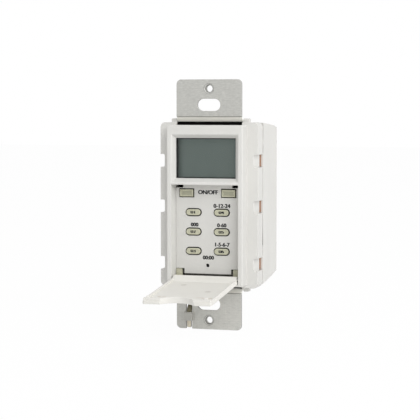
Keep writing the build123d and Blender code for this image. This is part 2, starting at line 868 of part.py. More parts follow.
with BuildPart() as door:
    with BuildSketch(door_plane.offset(-door_inner_h)) as leaf:
        with Locations((0, (door_barrel_r + door_length) / 2)):
            Rectangle(2 * door_half_w, door_length - door_barrel_r)
        fillet(leaf.vertices().group_by(Axis.Y)[-1], door_corner_r)
        with Locations((0, door_barrel_r / 2)):
            Rectangle(2 * door_barrel_half_l, door_barrel_r)
    extrude(leaf.sketch, amount=door_t)
    with BuildSketch(Plane.YZ) as barrel:
        with Locations((hinge_y, hinge_z)):
            Circle(door_barrel_r)
    extrude(barrel.sketch, amount=door_barrel_half_l, both=True)
    with BuildSketch(door_plane.offset(-door_lip_top_h)) as lip:
        with Locations((0, finger_notch_l)):
            Circle(finger_notch_r + door_lip_t)
        with Locations((0, lip_outer_l / 2)):
            Rectangle(2 * lip_half_w, lip_outer_l, mode=Mode.INTERSECT)
        with Locations((0, (lip_inner_l + lip_outer_l) / 2)):
            Rectangle(2 * lip_half_w, door_lip_t)
    extrude(lip.sketch, amount=door_lip_h + door_t / 2)
    for side in (1, -1):
        door_bar(
            [
                (door_rim_start, door_inner_h - door_t / 2),
                (door_length - door_corner_r, door_inner_h - door_t / 2),
                (door_length - door_corner_r, door_rim_top_h),
                (door_rim_start + door_rim_h, door_rim_top_h),
                (door_rim_start, door_inner_h),
            ],
            side * (door_half_w - door_rim_inset - door_rim_t / 2), door_rim_t,
        )
        door_bar(
            [
                (nub_start, door_inner_h - door_t / 2),
                (nub_start + nub_l, door_inner_h - door_t / 2),
                (nub_start + nub_l, nub_h - nub_l / 2),
                (nub_start + nub_l / 2, nub_h),
                (nub_start, nub_h),
            ],
            side * nub_x, nub_w,
        )
        with BuildSketch(Plane.YZ.offset(side * door_barrel_half_l)) as pin_seat:
            with Locations((hinge_y, hinge_z)):
                Circle(pin_r + pin_seat_gap)
        extrude(
            pin_seat.sketch, amount=-side * (door_barrel_half_l - pin_outer_x + pin_l + pin_seat_gap),
            mode=Mode.SUBTRACT,
        )
    with BuildSketch(door_plane.offset(-door_lip_top_h - cut_over)) as finger_notch:
        with Locations((0, finger_notch_l)):
            Circle(finger_notch_r)
    extrude(finger_notch.sketch, amount=door_lip_h + door_t + 2 * cut_over, mode=Mode.SUBTRACT)
save(door, "door")

with BuildPart() as door_pivot_pins:
    for side in (1, -1):
        with BuildSketch(Plane.YZ.offset(side * pin_outer_x)) as pin_section:
            with Locations((hinge_y, hinge_z)):
                Circle(pin_r)
        extrude(pin_section.sketch, amount=-side * pin_l)
save(door_pivot_pins, "door_pivot_pins")

# Detent tabs: each rests on the ledge, and its leg rests on the trough's back wall
with BuildPart() as door_detent_tabs:
    for side in (1, -1):
        tab_sides = sorted((side * tab_inner, side * tab_outer))
        slab(tab_front_y, ledge_front_y, *tab_sides, tab_bottom, tab_top)
        slab(tab_leg_front_y, trough_back_y, *tab_sides, tab_leg_bottom, tab_bottom)
save(door_detent_tabs, "door_detent_tabs")

# Display window, panel, frame and connectors
with BuildPart() as display_window:
    slab(
        lens_front_y, lens_back_y,
        -display_half_w - window_margin, display_half_w + window_margin,
        display_bottom - window_margin, display_top + window_margin,
    )
save(display_window, "display_window")

with BuildPart() as lcd_frame:
    slab(
        lens_back_y, flange_inner_y,
        -lcd_frame_half_w, lcd_frame_half_w, lcd_frame_bottom, lcd_frame_top,
    )
    slab(
        lens_back_y - cut_over, lcd_front_y,
        -display_half_w + lcd_frame_lip_inset, display_half_w - lcd_frame_lip_inset,
        display_bottom + lcd_frame_lip_inset, display_top - lcd_frame_lip_inset,
        mode=Mode.SUBTRACT,
    )
    slab(
        lcd_front_y, flange_inner_y + cut_over,
        -lcd_half_w - touch_gap, lcd_half_w + touch_gap,
        lcd_bottom - touch_gap, lcd_top + touch_gap,
        mode=Mode.SUBTRACT,
    )
save(lcd_frame, "lcd_frame")

with BuildPart() as lcd_panel:
    slab(lcd_front_y, lcd_back_y, -lcd_half_w, lcd_half_w, lcd_bottom, lcd_top)
save(lcd_panel, "lcd_panel")

with BuildPart() as lcd_connectors:
    connector_half_w = lcd_half_w - connector_inset
    for connector_z in (
        lcd_top - connector_inset - connector_h / 2,
        lcd_bottom + connector_inset + connector_h / 2,
    ):
        slab(
            lcd_back_y, flange_inner_y, -connector_half_w, connector_half_w,
            connector_z - connector_h / 2, connector_z + connector_h / 2,
        )
save(lcd_connectors, "lcd_connectors")

# Display board and what it carries on its back
with BuildPart() as display_board:
    slab(
        flange_inner_y, display_board_back_y,
        -display_board_half_w, display_board_half_w, display_board_bottom, display_board_top,
    )
save(display_board, "display_board")

with BuildPart() as controller_chip:
    slab(
        display_board_back_y, display_board_back_y + chip_lead_t,
        -chip_pad_half, chip_pad_half, chip_z - chip_pad_half, chip_z + chip_pad_half,
    )
    slab(
        display_board_back_y + chip_lead_t, display_board_back_y + chip_lead_t + chip_t,
        -chip_side / 2, chip_side / 2, chip_z - chip_side / 2, chip_z + chip_side / 2,
    )
save(controller_chip, "controller_chip")

with BuildPart() as clock_crystal:
    with BuildSketch(Plane.YZ.offset(crystal_x)) as crystal_section:
        with Locations((display_board_back_y + crystal_r, chip_z)):
            Circle(crystal_r)
    extrude(crystal_section.sketch, amount=crystal_l / 2, both=True)
save(clock_crystal, "clock_crystal")

with BuildPart() as backup_battery:
    rod(display_board_back_y, display_board_back_y + battery_t, battery_r, z=battery_z)
    fillet(backup_battery.faces().sort_by(Axis.Y)[-1].edges(), battery_edge_r)
save(backup_battery, "backup_battery")

with BuildPart() as board_header:
    header_room = board_rebate_y - display_board_back_y
    slab(
        display_board_back_y, display_board_back_y + header_room * header_block_share,
        -header_w / 2, header_w / 2, header_z - header_h / 2, header_z + header_h / 2,
    )
    for index in range(header_pin_count):
        pin_x = (index - (header_pin_count - 1) / 2) * header_pin_pitch
        slab(
            display_board_back_y, board_rebate_y,
            pin_x - header_pin_side / 2, pin_x + header_pin_side / 2,
            header_z - header_pin_side / 2, header_z + header_pin_side / 2,
        )
save(board_header, "board_header")

# Power board and what it carries on its back
with BuildPart() as power_board:
    rounded_slab(
        board_rebate_y, power_board_back_y, 2 * power_board_half_w, 2 * power_board_top,
        flange_corner_r / 2,
    )
    for side in (1, -1):
        for screw_z in screw_zs:
            rod(
                board_rebate_y - cut_over, power_board_back_y + cut_over, screw_r + screw_hole_gap,
                x=side * screw_x, z=screw_z, mode=Mode.SUBTRACT,
            )
        for notch_z in side_notch_zs:
            relief_bottom = notch_z - side_notch_h / 2
            slab(
                board_rebate_y - cut_over, power_board_back_y + cut_over,
                *sorted((side * (power_board_half_w - board_relief_d), side * (power_board_half_w + cut_over))),
                relief_bottom, relief_bottom + board_relief_h,
                mode=Mode.SUBTRACT,
            )
save(power_board, "power_board")

with BuildPart() as relay:
    slab(
        power_board_back_y, power_board_back_y + relay_d,
        relay_x - relay_w / 2, relay_x + relay_w / 2, relay_z - relay_h / 2, relay_z + relay_h / 2,
    )
    fillet(relay.faces().sort_by(Axis.Y)[-1].edges(), relay_edge_r)
save(relay, "relay")

with BuildPart() as film_capacitor:
    slab(
        power_board_back_y, power_board_back_y + film_cap_d,
        film_cap_x - film_cap_w / 2, film_cap_x + film_cap_w / 2,
        film_cap_z - film_cap_h / 2, film_cap_z + film_cap_h / 2,
    )
    fillet(film_capacitor.faces().sort_by(Axis.Y)[-1].edges(), film_cap_edge_r)
save(film_capacitor, "film_capacitor")

with BuildPart() as filter_capacitors:
    rod(
        power_board_back_y, power_board_back_y + can_large_l, can_large_r,
        x=can_large_x, z=can_large_z,
    )
    rod(
        power_board_back_y, power_board_back_y + can_small_l, can_small_r,
        x=can_small_x, z=can_small_z,
    )
    for can in filter_capacitors.solids():
        fillet(can.faces().sort_by(Axis.Y)[-1].edges(), can_edge_r)
save(filter_capacitors, "filter_capacitors")

with BuildPart() as varistor:
    with BuildSketch(Plane.YZ.offset(disc_x)) as disc_section:
        with Locations((power_board_back_y + disc_lift + disc_r, disc_z)):
            Circle(disc_r)
    extrude(disc_section.sketch, amount=disc_t / 2, both=True)
    fillet(varistor.edges().filter_by(GeomType.CIRCLE), disc_edge_r)
    for side in (1, -1):
        rod(
            power_board_back_y, power_board_back_y + disc_lift + disc_r, disc_leg_r,
            x=disc_x, z=disc_z + side * disc_leg_pitch / 2,
        )
save(varistor, "varistor")

with BuildPart() as rectifier_diodes:
    for index in range(diode_count):
        with BuildSketch(Plane.XY.offset(diode_z)) as diode_section:
            with Locations((diode_x + index * diode_pitch, power_board_back_y + diode_r)):
                Circle(diode_r)
        extrude(diode_section.sketch, amount=diode_l / 2, both=True)
save(rectifier_diodes, "rectifier_diodes")

with BuildPart() as lead_terminals:
    for index in range(terminal_count):
        post_x = terminal_x + index * terminal_pitch
        slab(
            power_board_back_y, power_board_back_y + terminal_base_l,
            post_x - terminal_w / 2, post_x + terminal_w / 2,
            terminal_z - terminal_base_w / 2, terminal_z + terminal_base_w / 2,
        )
        slab(
            power_board_back_y, power_board_back_y + terminal_base_l + terminal_l,
            post_x - terminal_w / 2, post_x + terminal_w / 2,
            terminal_z - terminal_t / 2, terminal_z + terminal_t / 2,
        )
save(lead_terminals, "lead_terminals")

# Rear housing
with BuildPart() as rear_housing:
    with BuildSketch(Plane.YZ) as rear_profile:
        with BuildLine():
            Polyline(
                (rear_front_y, rear_bottom_front_z),
                (rear_bottom_break_y, rear_bottom_break_z),
                (rear_back_y, rear_bottom_back_z),
                (rear_back_y, rear_top_back_z),
                (rear_top_break_y, rear_top_break_z),
                (rear_front_y, rear_top_front_z),
                close=True,
            )
        make_face()
    extrude(rear_profile.sketch, amount=rear_half_w, both=True)
    offset(amount=-wall_t, openings=rear_housing.faces().sort_by(Axis.Y)[0])
    back_face = rear_housing.faces().sort_by(Axis.Y)[-1]
    fillet(back_face.edges(), rear_back_r)
    # The seam: the rim is stepped back all round, but for the tongues at the notches
    with BuildSketch(facing(rear_front_y)) as seam:
        rim_z = (rear_top_front_z + rear_bottom_front_z) / 2
        rim_h = rear_top_front_z - rear_bottom_front_z
        with Locations((0, rim_z)):
            Rectangle(2 * rear_half_w + cut_over, rim_h + cut_over)
            Rectangle(
                2 * (rear_half_w - seam_groove_d), rim_h - 2 * seam_groove_d,
                mode=Mode.SUBTRACT,
            )
    extrude(seam.sketch, amount=-seam_groove_w, mode=Mode.SUBTRACT)
    for side in (1, -1):
        for notch_z in side_notch_zs:
            with BuildSketch(Plane.YZ.offset(side * rear_half_w)) as tongue:
                with BuildLine():
                    Polyline(
                        (rear_wall_y, notch_z - side_notch_h / 2 - tongue_slope),
                        (rear_front_y, notch_z - side_notch_h / 2),
                        (rear_front_y, notch_z + side_notch_h / 2),
                        (rear_wall_y, notch_z + side_notch_h / 2 + tongue_slope),
                        close=True,
                    )
                make_face()
            extrude(tongue.sketch, amount=-side * seam_groove_d)
        for screw_z in screw_zs:
            rod(rear_front_y, rear_back_y, screw_tube_r, x=side * screw_x, z=screw_z)
            rod(
                rear_front_y - cut_over, rear_back_y, screw_r + screw_hole_gap,
                x=side * screw_x, z=screw_z, mode=Mode.SUBTRACT,
            )
            rod(
                screw_seat_y, rear_back_y + cut_over, screw_head_r + screw_head_gap,
                x=side * screw_x, z=screw_z, mode=Mode.SUBTRACT,
            )
        for end in (1, -1):
            hole_x = side * lead_hole_pitch_w / 2
            hole_z = end * lead_hole_pitch_h / 2
            rod(rear_back_y, rear_back_y + lead_collar_h, lead_collar_r, x=hole_x, z=hole_z)
            rod(
                rear_inner_y - cut_over, rear_back_y + lead_collar_h + cut_over, lead_hole_r,
                x=hole_x, z=hole_z, mode=Mode.SUBTRACT,
            )
    with BuildSketch(Plane.XY.offset(rear_bottom_front_z - cut_over)) as wire_hole:
        with Locations((crimp_x, wire_entry_y)):
            Circle(wire_r + wire_hole_gap)
    extrude(
        wire_hole.sketch, amount=wire_inner_z - rear_bottom_front_z + cut_over, mode=Mode.SUBTRACT,
    )
save(rear_housing, "rear_housing")

with BuildPart() as housing_screws:
    for side in (1, -1):
        for screw_z in screw_zs:
            rod(screw_tip_y, screw_seat_y, screw_r, x=side * screw_x, z=screw_z)
            rod(screw_seat_y, screw_seat_y + screw_head_t, screw_head_r, x=side * screw_x, z=screw_z)
            for drive_w, drive_h in (
                (screw_drive_l, screw_drive_w),
                (screw_drive_w, screw_drive_l),
            ):
                slab(
                    screw_seat_y + screw_head_t - screw_drive_d, screw_seat_y + screw_head_t + cut_over,
                    side * screw_x - drive_w / 2, side * screw_x + drive_w / 2,
                    screw_z - drive_h / 2, screw_z + drive_h / 2,
                    mode=Mode.SUBTRACT,
                )
save(housing_screws, "housing_screws")

# Ground wire: the jacket follows the route, and the bare core lies straight below it
wire_points = [Vector(0, y, z) for y, z in wire_route]
wire_radii = []
for before, corner, after in zip(wire_points, wire_points[1:], wire_points[2:]):
    turn = (corner - before).get_angle(after - corner)
    shorter = min((corner - before).length, (after - corner).length)
    wire_radii.append(wire_bend_share * shorter / tan(radians(turn / 2)))
print("ground wire radii", [round(value, 2) for value in wire_radii])
with BuildPart() as ground_wire:
    with BuildLine(Plane.YZ.offset(crimp_x)) as wire_path:
        FilletPolyline(*wire_route, radius=wire_radii)
    with BuildSketch(Plane.XY.offset(wire_jacket_z)):
        with Locations((crimp_x, wire_y)):
            Circle(wire_r)
    sweep(path=wire_path.line)
save(ground_wire, "ground_wire")
wire_length = sum(edge.length for edge in wire_path.edges())
wire_section = ground_wire.faces().filter_by(GeomType.PLANE).sort_by(Axis.Z)[0].area
print("ground wire length", wire_length, "volume", ground_wire.part.volume, wire_length * wire_section)

with BuildPart() as ground_wire_end:
    with BuildSketch(Plane.XY.offset(wire_end_z)) as core_section:
        with Locations((crimp_x, wire_y)):
            Circle(wire_core_r)
    extrude(core_section.sketch, amount=wire_jacket_z - wire_end_z)
    fillet(ground_wire_end.faces().sort_by(Axis.Z)[0].edges(), wire_core_r / 2)
save(ground_wire_end, "ground_wire_end")
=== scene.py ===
"""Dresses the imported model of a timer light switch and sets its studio, light and camera."""

import json
import logging
import math
from collections.abc import Callable, Iterable
from dataclasses import dataclass
from enum import Enum
from functools import cache, cached_property

import bmesh
import bpy
from mathutils import Matrix, Vector


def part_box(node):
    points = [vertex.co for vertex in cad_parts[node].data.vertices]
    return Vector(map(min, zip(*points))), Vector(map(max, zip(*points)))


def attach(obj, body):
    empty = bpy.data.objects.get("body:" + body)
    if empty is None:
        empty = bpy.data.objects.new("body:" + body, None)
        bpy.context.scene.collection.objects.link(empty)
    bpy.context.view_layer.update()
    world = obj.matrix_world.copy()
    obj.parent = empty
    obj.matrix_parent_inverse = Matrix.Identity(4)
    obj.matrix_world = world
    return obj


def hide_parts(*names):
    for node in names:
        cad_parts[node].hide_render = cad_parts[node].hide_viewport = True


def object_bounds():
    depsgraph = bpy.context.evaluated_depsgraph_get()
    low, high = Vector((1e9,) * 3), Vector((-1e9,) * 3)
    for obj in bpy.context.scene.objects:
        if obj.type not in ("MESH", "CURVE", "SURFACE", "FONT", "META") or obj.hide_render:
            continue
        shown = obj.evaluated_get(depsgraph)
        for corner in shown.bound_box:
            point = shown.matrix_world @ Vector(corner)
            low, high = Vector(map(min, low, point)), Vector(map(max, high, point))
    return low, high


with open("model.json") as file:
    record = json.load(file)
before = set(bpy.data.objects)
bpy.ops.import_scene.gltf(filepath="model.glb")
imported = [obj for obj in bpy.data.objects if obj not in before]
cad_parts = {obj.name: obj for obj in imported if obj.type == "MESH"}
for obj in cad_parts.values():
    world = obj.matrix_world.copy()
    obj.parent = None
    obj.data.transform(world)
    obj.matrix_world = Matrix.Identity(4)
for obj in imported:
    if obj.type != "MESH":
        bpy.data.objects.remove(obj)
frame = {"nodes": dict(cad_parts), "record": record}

Form = bmesh.types.BMesh
Socket = bpy.types.NodeSocket
Pair = tuple[float, float]
Triple = tuple[float, float, float]
Marks = list[tuple[Socket, Triple]]

LOG = logging.getLogger("timer_switch")
MM = 0.001
PER_MM = (1 / MM, 1 / MM, 1 / MM)
WELD = 1e-6
NEAR = 0.02
LEVEL = 0.01
FACING = 0.99
FLAT_ANGLE = math.radians(0.6)
HARD_ANGLE = math.radians(38.0)
WEAR_LAYER = "edge_wear"

CAD_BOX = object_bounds()


class Slot(Enum):
    """The record's material slots."""

    HOUSING = "housing_white"
    DOOR = "door_white"
    PLATE = "plate_grey"
    KEY = "key_khaki"
    TAB = "tab_khaki"
    STRAP = "zinc_steel"
    PIN = "pin_steel"
    SCREW = "screw_steel"
    SHADE_FIBRE = "fibre_black"
    FRAME = "frame_black"
    WINDOW = "window_clear"
    PANEL = "lcd_glass"
    CONNECTOR = "connector_rubber"
    MAT = "mat_rubber"
    BOARD = "board_green"
    POWER = "board_brown"
    CHIP = "chip_black"
    CAN = "can_metal"
    BATTERY = "battery_steel"
    RELAY = "relay_blue"
    FILM = "film_yellow"
    VARISTOR = "varistor_blue"
    TERMINAL = "terminal_brass"
    WIRE = "wire_green"
    CORE = "core_tinned"


def linear(tone: Triple) -> tuple[float, float, float, float]:
    """Turn a tone on the screen's scale into a scene colour.

    Args:
        tone: Red, green and blue from 0 to 255.

    Returns:
        The linear colour, with a full alpha.
    """
    parts = []
    for value in tone:
        share = value / 255
        parts.append(share / 12.92 if share <= 0.04045 else ((share + 0.055) / 1.055) ** 2.4)
    return (parts[0], parts[1], parts[2], 1.0)


def box_mm(node: str) -> tuple[Vector, Vector]:
    """Give a CAD node's lowest and highest corner in millimetres.

    Args:
        node: The CAD node's name.

    Returns:
        The two corners.
    """
    low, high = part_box(node)
    return low / MM, high / MM


def hole_height() -> float:
    """Find the wall-plate holes' height above the origin in the record.

    Returns:
        The height in millimetres.
    """
    for mount in frame["record"]["mounts"]:
        if mount["kind"] == "bolt_pattern":
            return mount["dims"]["spacing_y_mm"] / 2
    return 0.0


class Graph:
    """A short way to write one node tree."""

    def __init__(self, tree: bpy.types.NodeTree) -> None:
        """Keep the tree to write in: a material's, a world's or a group's."""
        self.tree = tree

    @classmethod
    def of(cls, owner: bpy.types.ID) -> "Graph":
        """Empty the nodes of a material or world and give its graph.

        Args:
            owner: The material or world.

        Returns:
            Its graph.
        """
        owner.use_nodes = True
        owner.node_tree.nodes.clear()
        return cls(owner.node_tree)

    def node(self, kind: str, feeds: dict | None = None, **settings: object) -> bpy.types.Node:
        """Add a node.

        Args:
            kind: The node's type name.
            feeds: What each input gets, by its name or number: an output socket or a constant.
            settings: Properties of the node and their values.

        Returns:
            The new node.
        """
        made = self.tree.nodes.new(kind)
        for name, value in settings.items():
            setattr(made, name, value)
        for key, value in (feeds or {}).items():
            if isinstance(value, Socket):
                self.tree.links.new(value, made.inputs[key])
            else:
                made.inputs[key].default_value = value
        return made

    def math(self, operation: str, *values: object) -> Socket:
        """Add a math node that works on sockets or numbers."""
        return self.node("ShaderNodeMath", dict(enumerate(values)), operation=operation).outputs[0]

    def product(self, first: object, *others: object) -> Socket:
        """Multiply values.

        Args:
            first: A socket.
            others: Sockets or numbers.

        Returns:
            The product.
        """
        for value in others:
            first = self.math("MULTIPLY", first, value)
        return first

    def total(self, *terms: tuple[object, object]) -> Socket:
        """Add values, each of them multiplied by another.

        Args:
            terms: The pairs to multiply, each a socket with a socket or number.

        Returns:
            The sum.
        """
        result = 0.0
        for value, share in terms:
            result = self.math("MULTIPLY_ADD", value, share, result)
        return result

    def noise(self, vector: object, scale: object, detail: float = 3.0, rough: float = 0.5) -> Socket:
        """Add noise about 0.5, with so many features per unit, octaves, and strength of the finer ones."""
        feeds = {"Vector": vector, "Scale": scale, "Detail": detail, "Roughness": rough}
        return self.node("ShaderNodeTexNoise", feeds).outputs[0]

    def stretch(self, vector: object, scale: Triple) -> Socket:
        """Scale coordinates by a factor along each axis."""
        return self.node("ShaderNodeMapping", {"Vector": vector, "Scale": scale}).outputs[0]

    def ramp(self, value: object, low: float, high: float, start: float = 0.0, end: float = 1.0) -> Socket:
        """Map the range from low to high onto the one from start to end, with its ends held."""
        feeds = {"Value": value, "From Min": low, "From Max": high, "To Min": start, "To Max": end}
        return self.node("ShaderNodeMapRange", feeds, clamp=True).outputs["Result"]

    def band(self, value: object, low: float, high: float, fade: float) -> Socket:
        """Give 1 where a value lies from low to high and 0 outside, with both ends faded inside."""
        falling = self.ramp(value, high - fade, high, 1.0, 0.0)
        return self.product(self.ramp(value, low, low + fade), falling)

    def apart(self, place: object) -> tuple:
        """Split coordinates in metres into their x, y and z in millimetres."""
        return tuple(self.node("ShaderNodeSeparateXYZ", {0: self.stretch(place, PER_MM)}).outputs)

    def blend(self, share: object, first: object, second: object) -> Socket:
        """Mix a share of the second colour into the first."""
        feeds = {0: share, 6: first, 7: second}
        return self.node("ShaderNodeMix", feeds, data_type="RGBA", clamp_factor=True).outputs[2]

    def shade(self, share: object, first: Socket, second: Socket, kind: str) -> None:
        """Mix a share of the second shader into the first, and send them to a new output node."""
        mixed = self.node("ShaderNodeMixShader", {0: share, 1: first, 2: second})
        self.node(kind, {"Surface": mixed.outputs[0]})


class Texture(Enum):
    """The surface textures, each a shared shader group."""

    MOULDED = "moulded_skin"
    ROLLED = "rolled_metal"
    LAYERED = "layered_board"
    FELTED = "felted_sheet"


@dataclass(frozen=True)
class Layer:
    """One pattern of a texture, and its shares in the tone, the roughness and the height."""

    scale: float | None = None
    spread: Triple = (1.0, 1.0, 1.0)
    detail: float = 3.0
    rough: float = 0.5
    tone: float = 0.0
    gloss: float = 0.0
    height: float = 0.0
    cells: bool = False

    def pattern(self, graph: Graph, vector: Socket, grain: Socket) -> Socket:
        """Write the pattern: noise, or flat cells.

        Args:
            graph: Where to write.
            vector: Coordinates in millimetres.
            grain: The finish's features per millimetre, for a layer with no scale of its own.

        Returns:
            The pattern's value, from 0 to 1.
        """
        place = graph.stretch(vector, self.spread)
        scale = grain if self.scale is None else self.scale
        if not self.cells:
            return graph.noise(place, scale, self.detail, self.rough)
        cells = graph.node("ShaderNodeTexVoronoi", {"Vector": place, "Scale": scale}, feature="F1")
        return graph.node("ShaderNodeSeparateColor", {0: cells.outputs["Color"]}).outputs[0]


# Where a texture's tone starts to rise from 0, and the patterns that make it up
TONE_LOW = {Texture.MOULDED: 0.3, Texture.ROLLED: 0.33, Texture.LAYERED: 0.3, Texture.FELTED: 0.3}
LAYERS = {
    # Spark-eroded plastic: a fine even grain, slow flow marks and handling
    Texture.MOULDED: (
        Layer(detail=2.0, rough=0.6, tone=0.4, gloss=0.3, height=1.0),
        Layer(0.11, (1.0, 1.0, 0.35), tone=0.6),
        Layer(0.55, detail=4.0, rough=0.6, gloss=0.7),
    ),
    # Plated sheet: streaks along its length, clouds, crystal patches and faint pits
    Texture.ROLLED: (
        Layer(None, (1.0, 1.0, 0.04), 4.0, 0.6, tone=0.35, height=0.6),
        Layer(0.22, detail=4.0, rough=0.6, tone=0.35, gloss=1.0),
        Layer(0.55, tone=0.08, cells=True),
        Layer(3.2, rough=0.7, tone=0.22, height=0.4),
    ),
    # Pressed board: thin plies through its depth, with fibres across them
    Texture.LAYERED: (
        Layer(None, (0.25, 2.0, 0.25), 2.0, tone=0.6, height=1.0),
        Layer(4.0, (2.0, 1.0, 1.0), 4.0, 0.7, tone=0.4, gloss=1.0),
    ),
    # Fibre sheet and rubber: short tangled fibres with a matt bloom
    Texture.FELTED: (
        Layer(None, (1.0, 1.0, 0.5), 5.0, 0.75, tone=0.5, height=1.0),
        Layer(0.4, tone=0.5, gloss=1.0),
    ),
}
# The chips of worn rims: features per millimetre, octaves and the finer ones' strength
CHIPS = (1.7, 4.0, 0.65)
CHIP_RANGE = (0.42, 0.62)
GLOSS_RANGE = (0.3, 0.7)
INPUTS = {"Vector": "Vector", "Grain": "Float", "Depth": "Float", "Wear": "Float"}
OUTPUTS = {"Tone": "Float", "Rough": "Float", "Worn": "Float", "Normal": "Vector"}


@cache
def texture_group(texture: Texture) -> bpy.types.NodeTree:
    """Give a texture's shared shader group, written when a finish first asks for it.

    Args:
        texture: Which texture.

    Returns:
        Its node group.
    """
    tree = bpy.data.node_groups.new(texture.value, "ShaderNodeTree")
    for way, sockets in (("INPUT", INPUTS), ("OUTPUT", OUTPUTS)):
        for name, kind in sockets.items():
            tree.interface.new_socket(name, in_out=way, socket_type="NodeSocket" + kind)
    graph = Graph(tree)
    source = graph.node("NodeGroupInput").outputs
    vector = graph.stretch(source["Vector"], PER_MM)
    patterns = [(layer, layer.pattern(graph, vector, source["Grain"])) for layer in LAYERS[texture]]
    tone, gloss, height = (
        graph.total(*((value, getattr(layer, use)) for layer, value in patterns if getattr(layer, use)))
        for use in ("tone", "gloss", "height")
    )
    low = TONE_LOW[texture]
    chips = graph.ramp(graph.noise(vector, *CHIPS), *CHIP_RANGE)
    bump = {"Strength": 1.0, "Distance": source["Depth"], "Height": height}
    graph.node("NodeGroupOutput", {
        "Tone": graph.ramp(tone, low, 1.0 - low),
        "Rough": graph.ramp(gloss, *GLOSS_RANGE),
        "Worn": graph.product(chips, source["Wear"]),
        "Normal": graph.node("ShaderNodeBump", bump).outputs["Normal"],
    })
    return tree


@dataclass(frozen=True)
class Finish:
    """One finish: two tones that its texture moves between, and how rough and worn it is."""

    slot: Slot
    light: Triple
    dark: Triple
    texture: Texture = Texture.MOULDED
    roughness: Pair = (0.45, 0.55)
    metallic: float = 0.0
    grain: float = 5.0
    depth: float = 0.006
    edge: Triple = (235.0, 235.0, 232.0)
    wear: float = 0.5
    specular: float = 0.5

    def marks(self, graph: Graph, place: Socket) -> Marks:
        """List the marks over the two tones, each a share and a tone, from the lowest up."""
        return []

    def gloss(self, base: Socket) -> dict[str, object]:
        """Give the shader's inputs that are the same all over the surface."""
        return {"Metallic": self.metallic, "Specular IOR Level": self.specular}

    @cached_property
    def material(self) -> bpy.types.Material:
        """Write the finish's material when a piece first asks for it.

        Returns:
            The material.
        """
        made = bpy.data.materials.new(self.slot.value)
        graph = Graph.of(made)
        place = graph.node("ShaderNodeTexCoord").outputs["Object"]
        rim = graph.node("ShaderNodeAttribute", attribute_name=WEAR_LAYER).outputs["Fac"]
        worn = graph.product(rim, self.wear)
        feeds = {"Vector": place, "Grain": self.grain, "Depth": self.depth * MM, "Wear": worn}
        skin = graph.node("ShaderNodeGroup", feeds, node_tree=texture_group(self.texture))
        base = graph.blend(skin.outputs["Tone"], linear(self.dark), linear(self.light))
        for share, tone in (*self.marks(graph, place), (skin.outputs["Worn"], self.edge)):
            base = graph.blend(share, base, linear(tone))
        low, high = self.roughness
        shader = graph.node("ShaderNodeBsdfPrincipled", {
            "Base Color": base,
            "Roughness": graph.ramp(skin.outputs["Rough"], 0.0, 1.0, low, high),
            "Normal": skin.outputs["Normal"],
            **self.gloss(base),
        })
        graph.node("ShaderNodeOutputMaterial", {"Surface": shader.outputs[0]})
        return made


@dataclass(frozen=True)
class PanelFinish(Finish):
    """Liquid crystal over its reflector: grey-green, with painted shade along its rim, most on the left,
    and a painted glow that evens out its shading.
    """

    # The tone of the painted shade along the panel's edges, deepest in a soft band on the left
    rim: Triple = (28.0, 29.0, 29.0)
    border: float = 1.7
    border_ends: float = 2.22
    rim_width: float = 0.3
    rim_light: float = 0.25
    shade_width: float = 2.6
    shade_power: float = 0.5
    # The strength of a painted glow in the panel's own colour, which flattens its shading
    painted_glow: float = 1.0

    def marks(self, graph: Graph, place: Socket) -> Marks:
        """Paint shade towards the panel's edges, most on the left.

        Args:
            graph: Where to write.
            place: Object coordinates.

        Returns:
            Each mark's share and its tone, from the lowest up.
        """
        low, high = box_mm("lcd_frame")
        x, _, z = graph.apart(place)
        left, right = low.x + self.border, high.x - self.border
        foot, top = low.z + self.border_ends, high.z - self.border_ends
        # Painted shade: a soft band along the left edge and thin dark lines along the other edges
        lit = graph.product(
            graph.math("POWER", graph.ramp(x, left, left + self.shade_width), self.shade_power),
            graph.ramp(x, right - self.rim_width, right, 1.0, self.rim_light),
            graph.ramp(z, top - self.rim_width, top, 1.0, self.rim_light),
            graph.ramp(z, foot, foot + self.rim_width, self.rim_light, 1.0),
        )
        return [(graph.math("SUBTRACT", 1.0, lit), self.rim)]

    def gloss(self, base: Socket) -> dict[str, object]:
        """Make the panel glow in its own colour, a painted light that evens out its shading."""
        return super().gloss(base) | {"Emission Color": base, "Emission Strength": self.painted_glow}


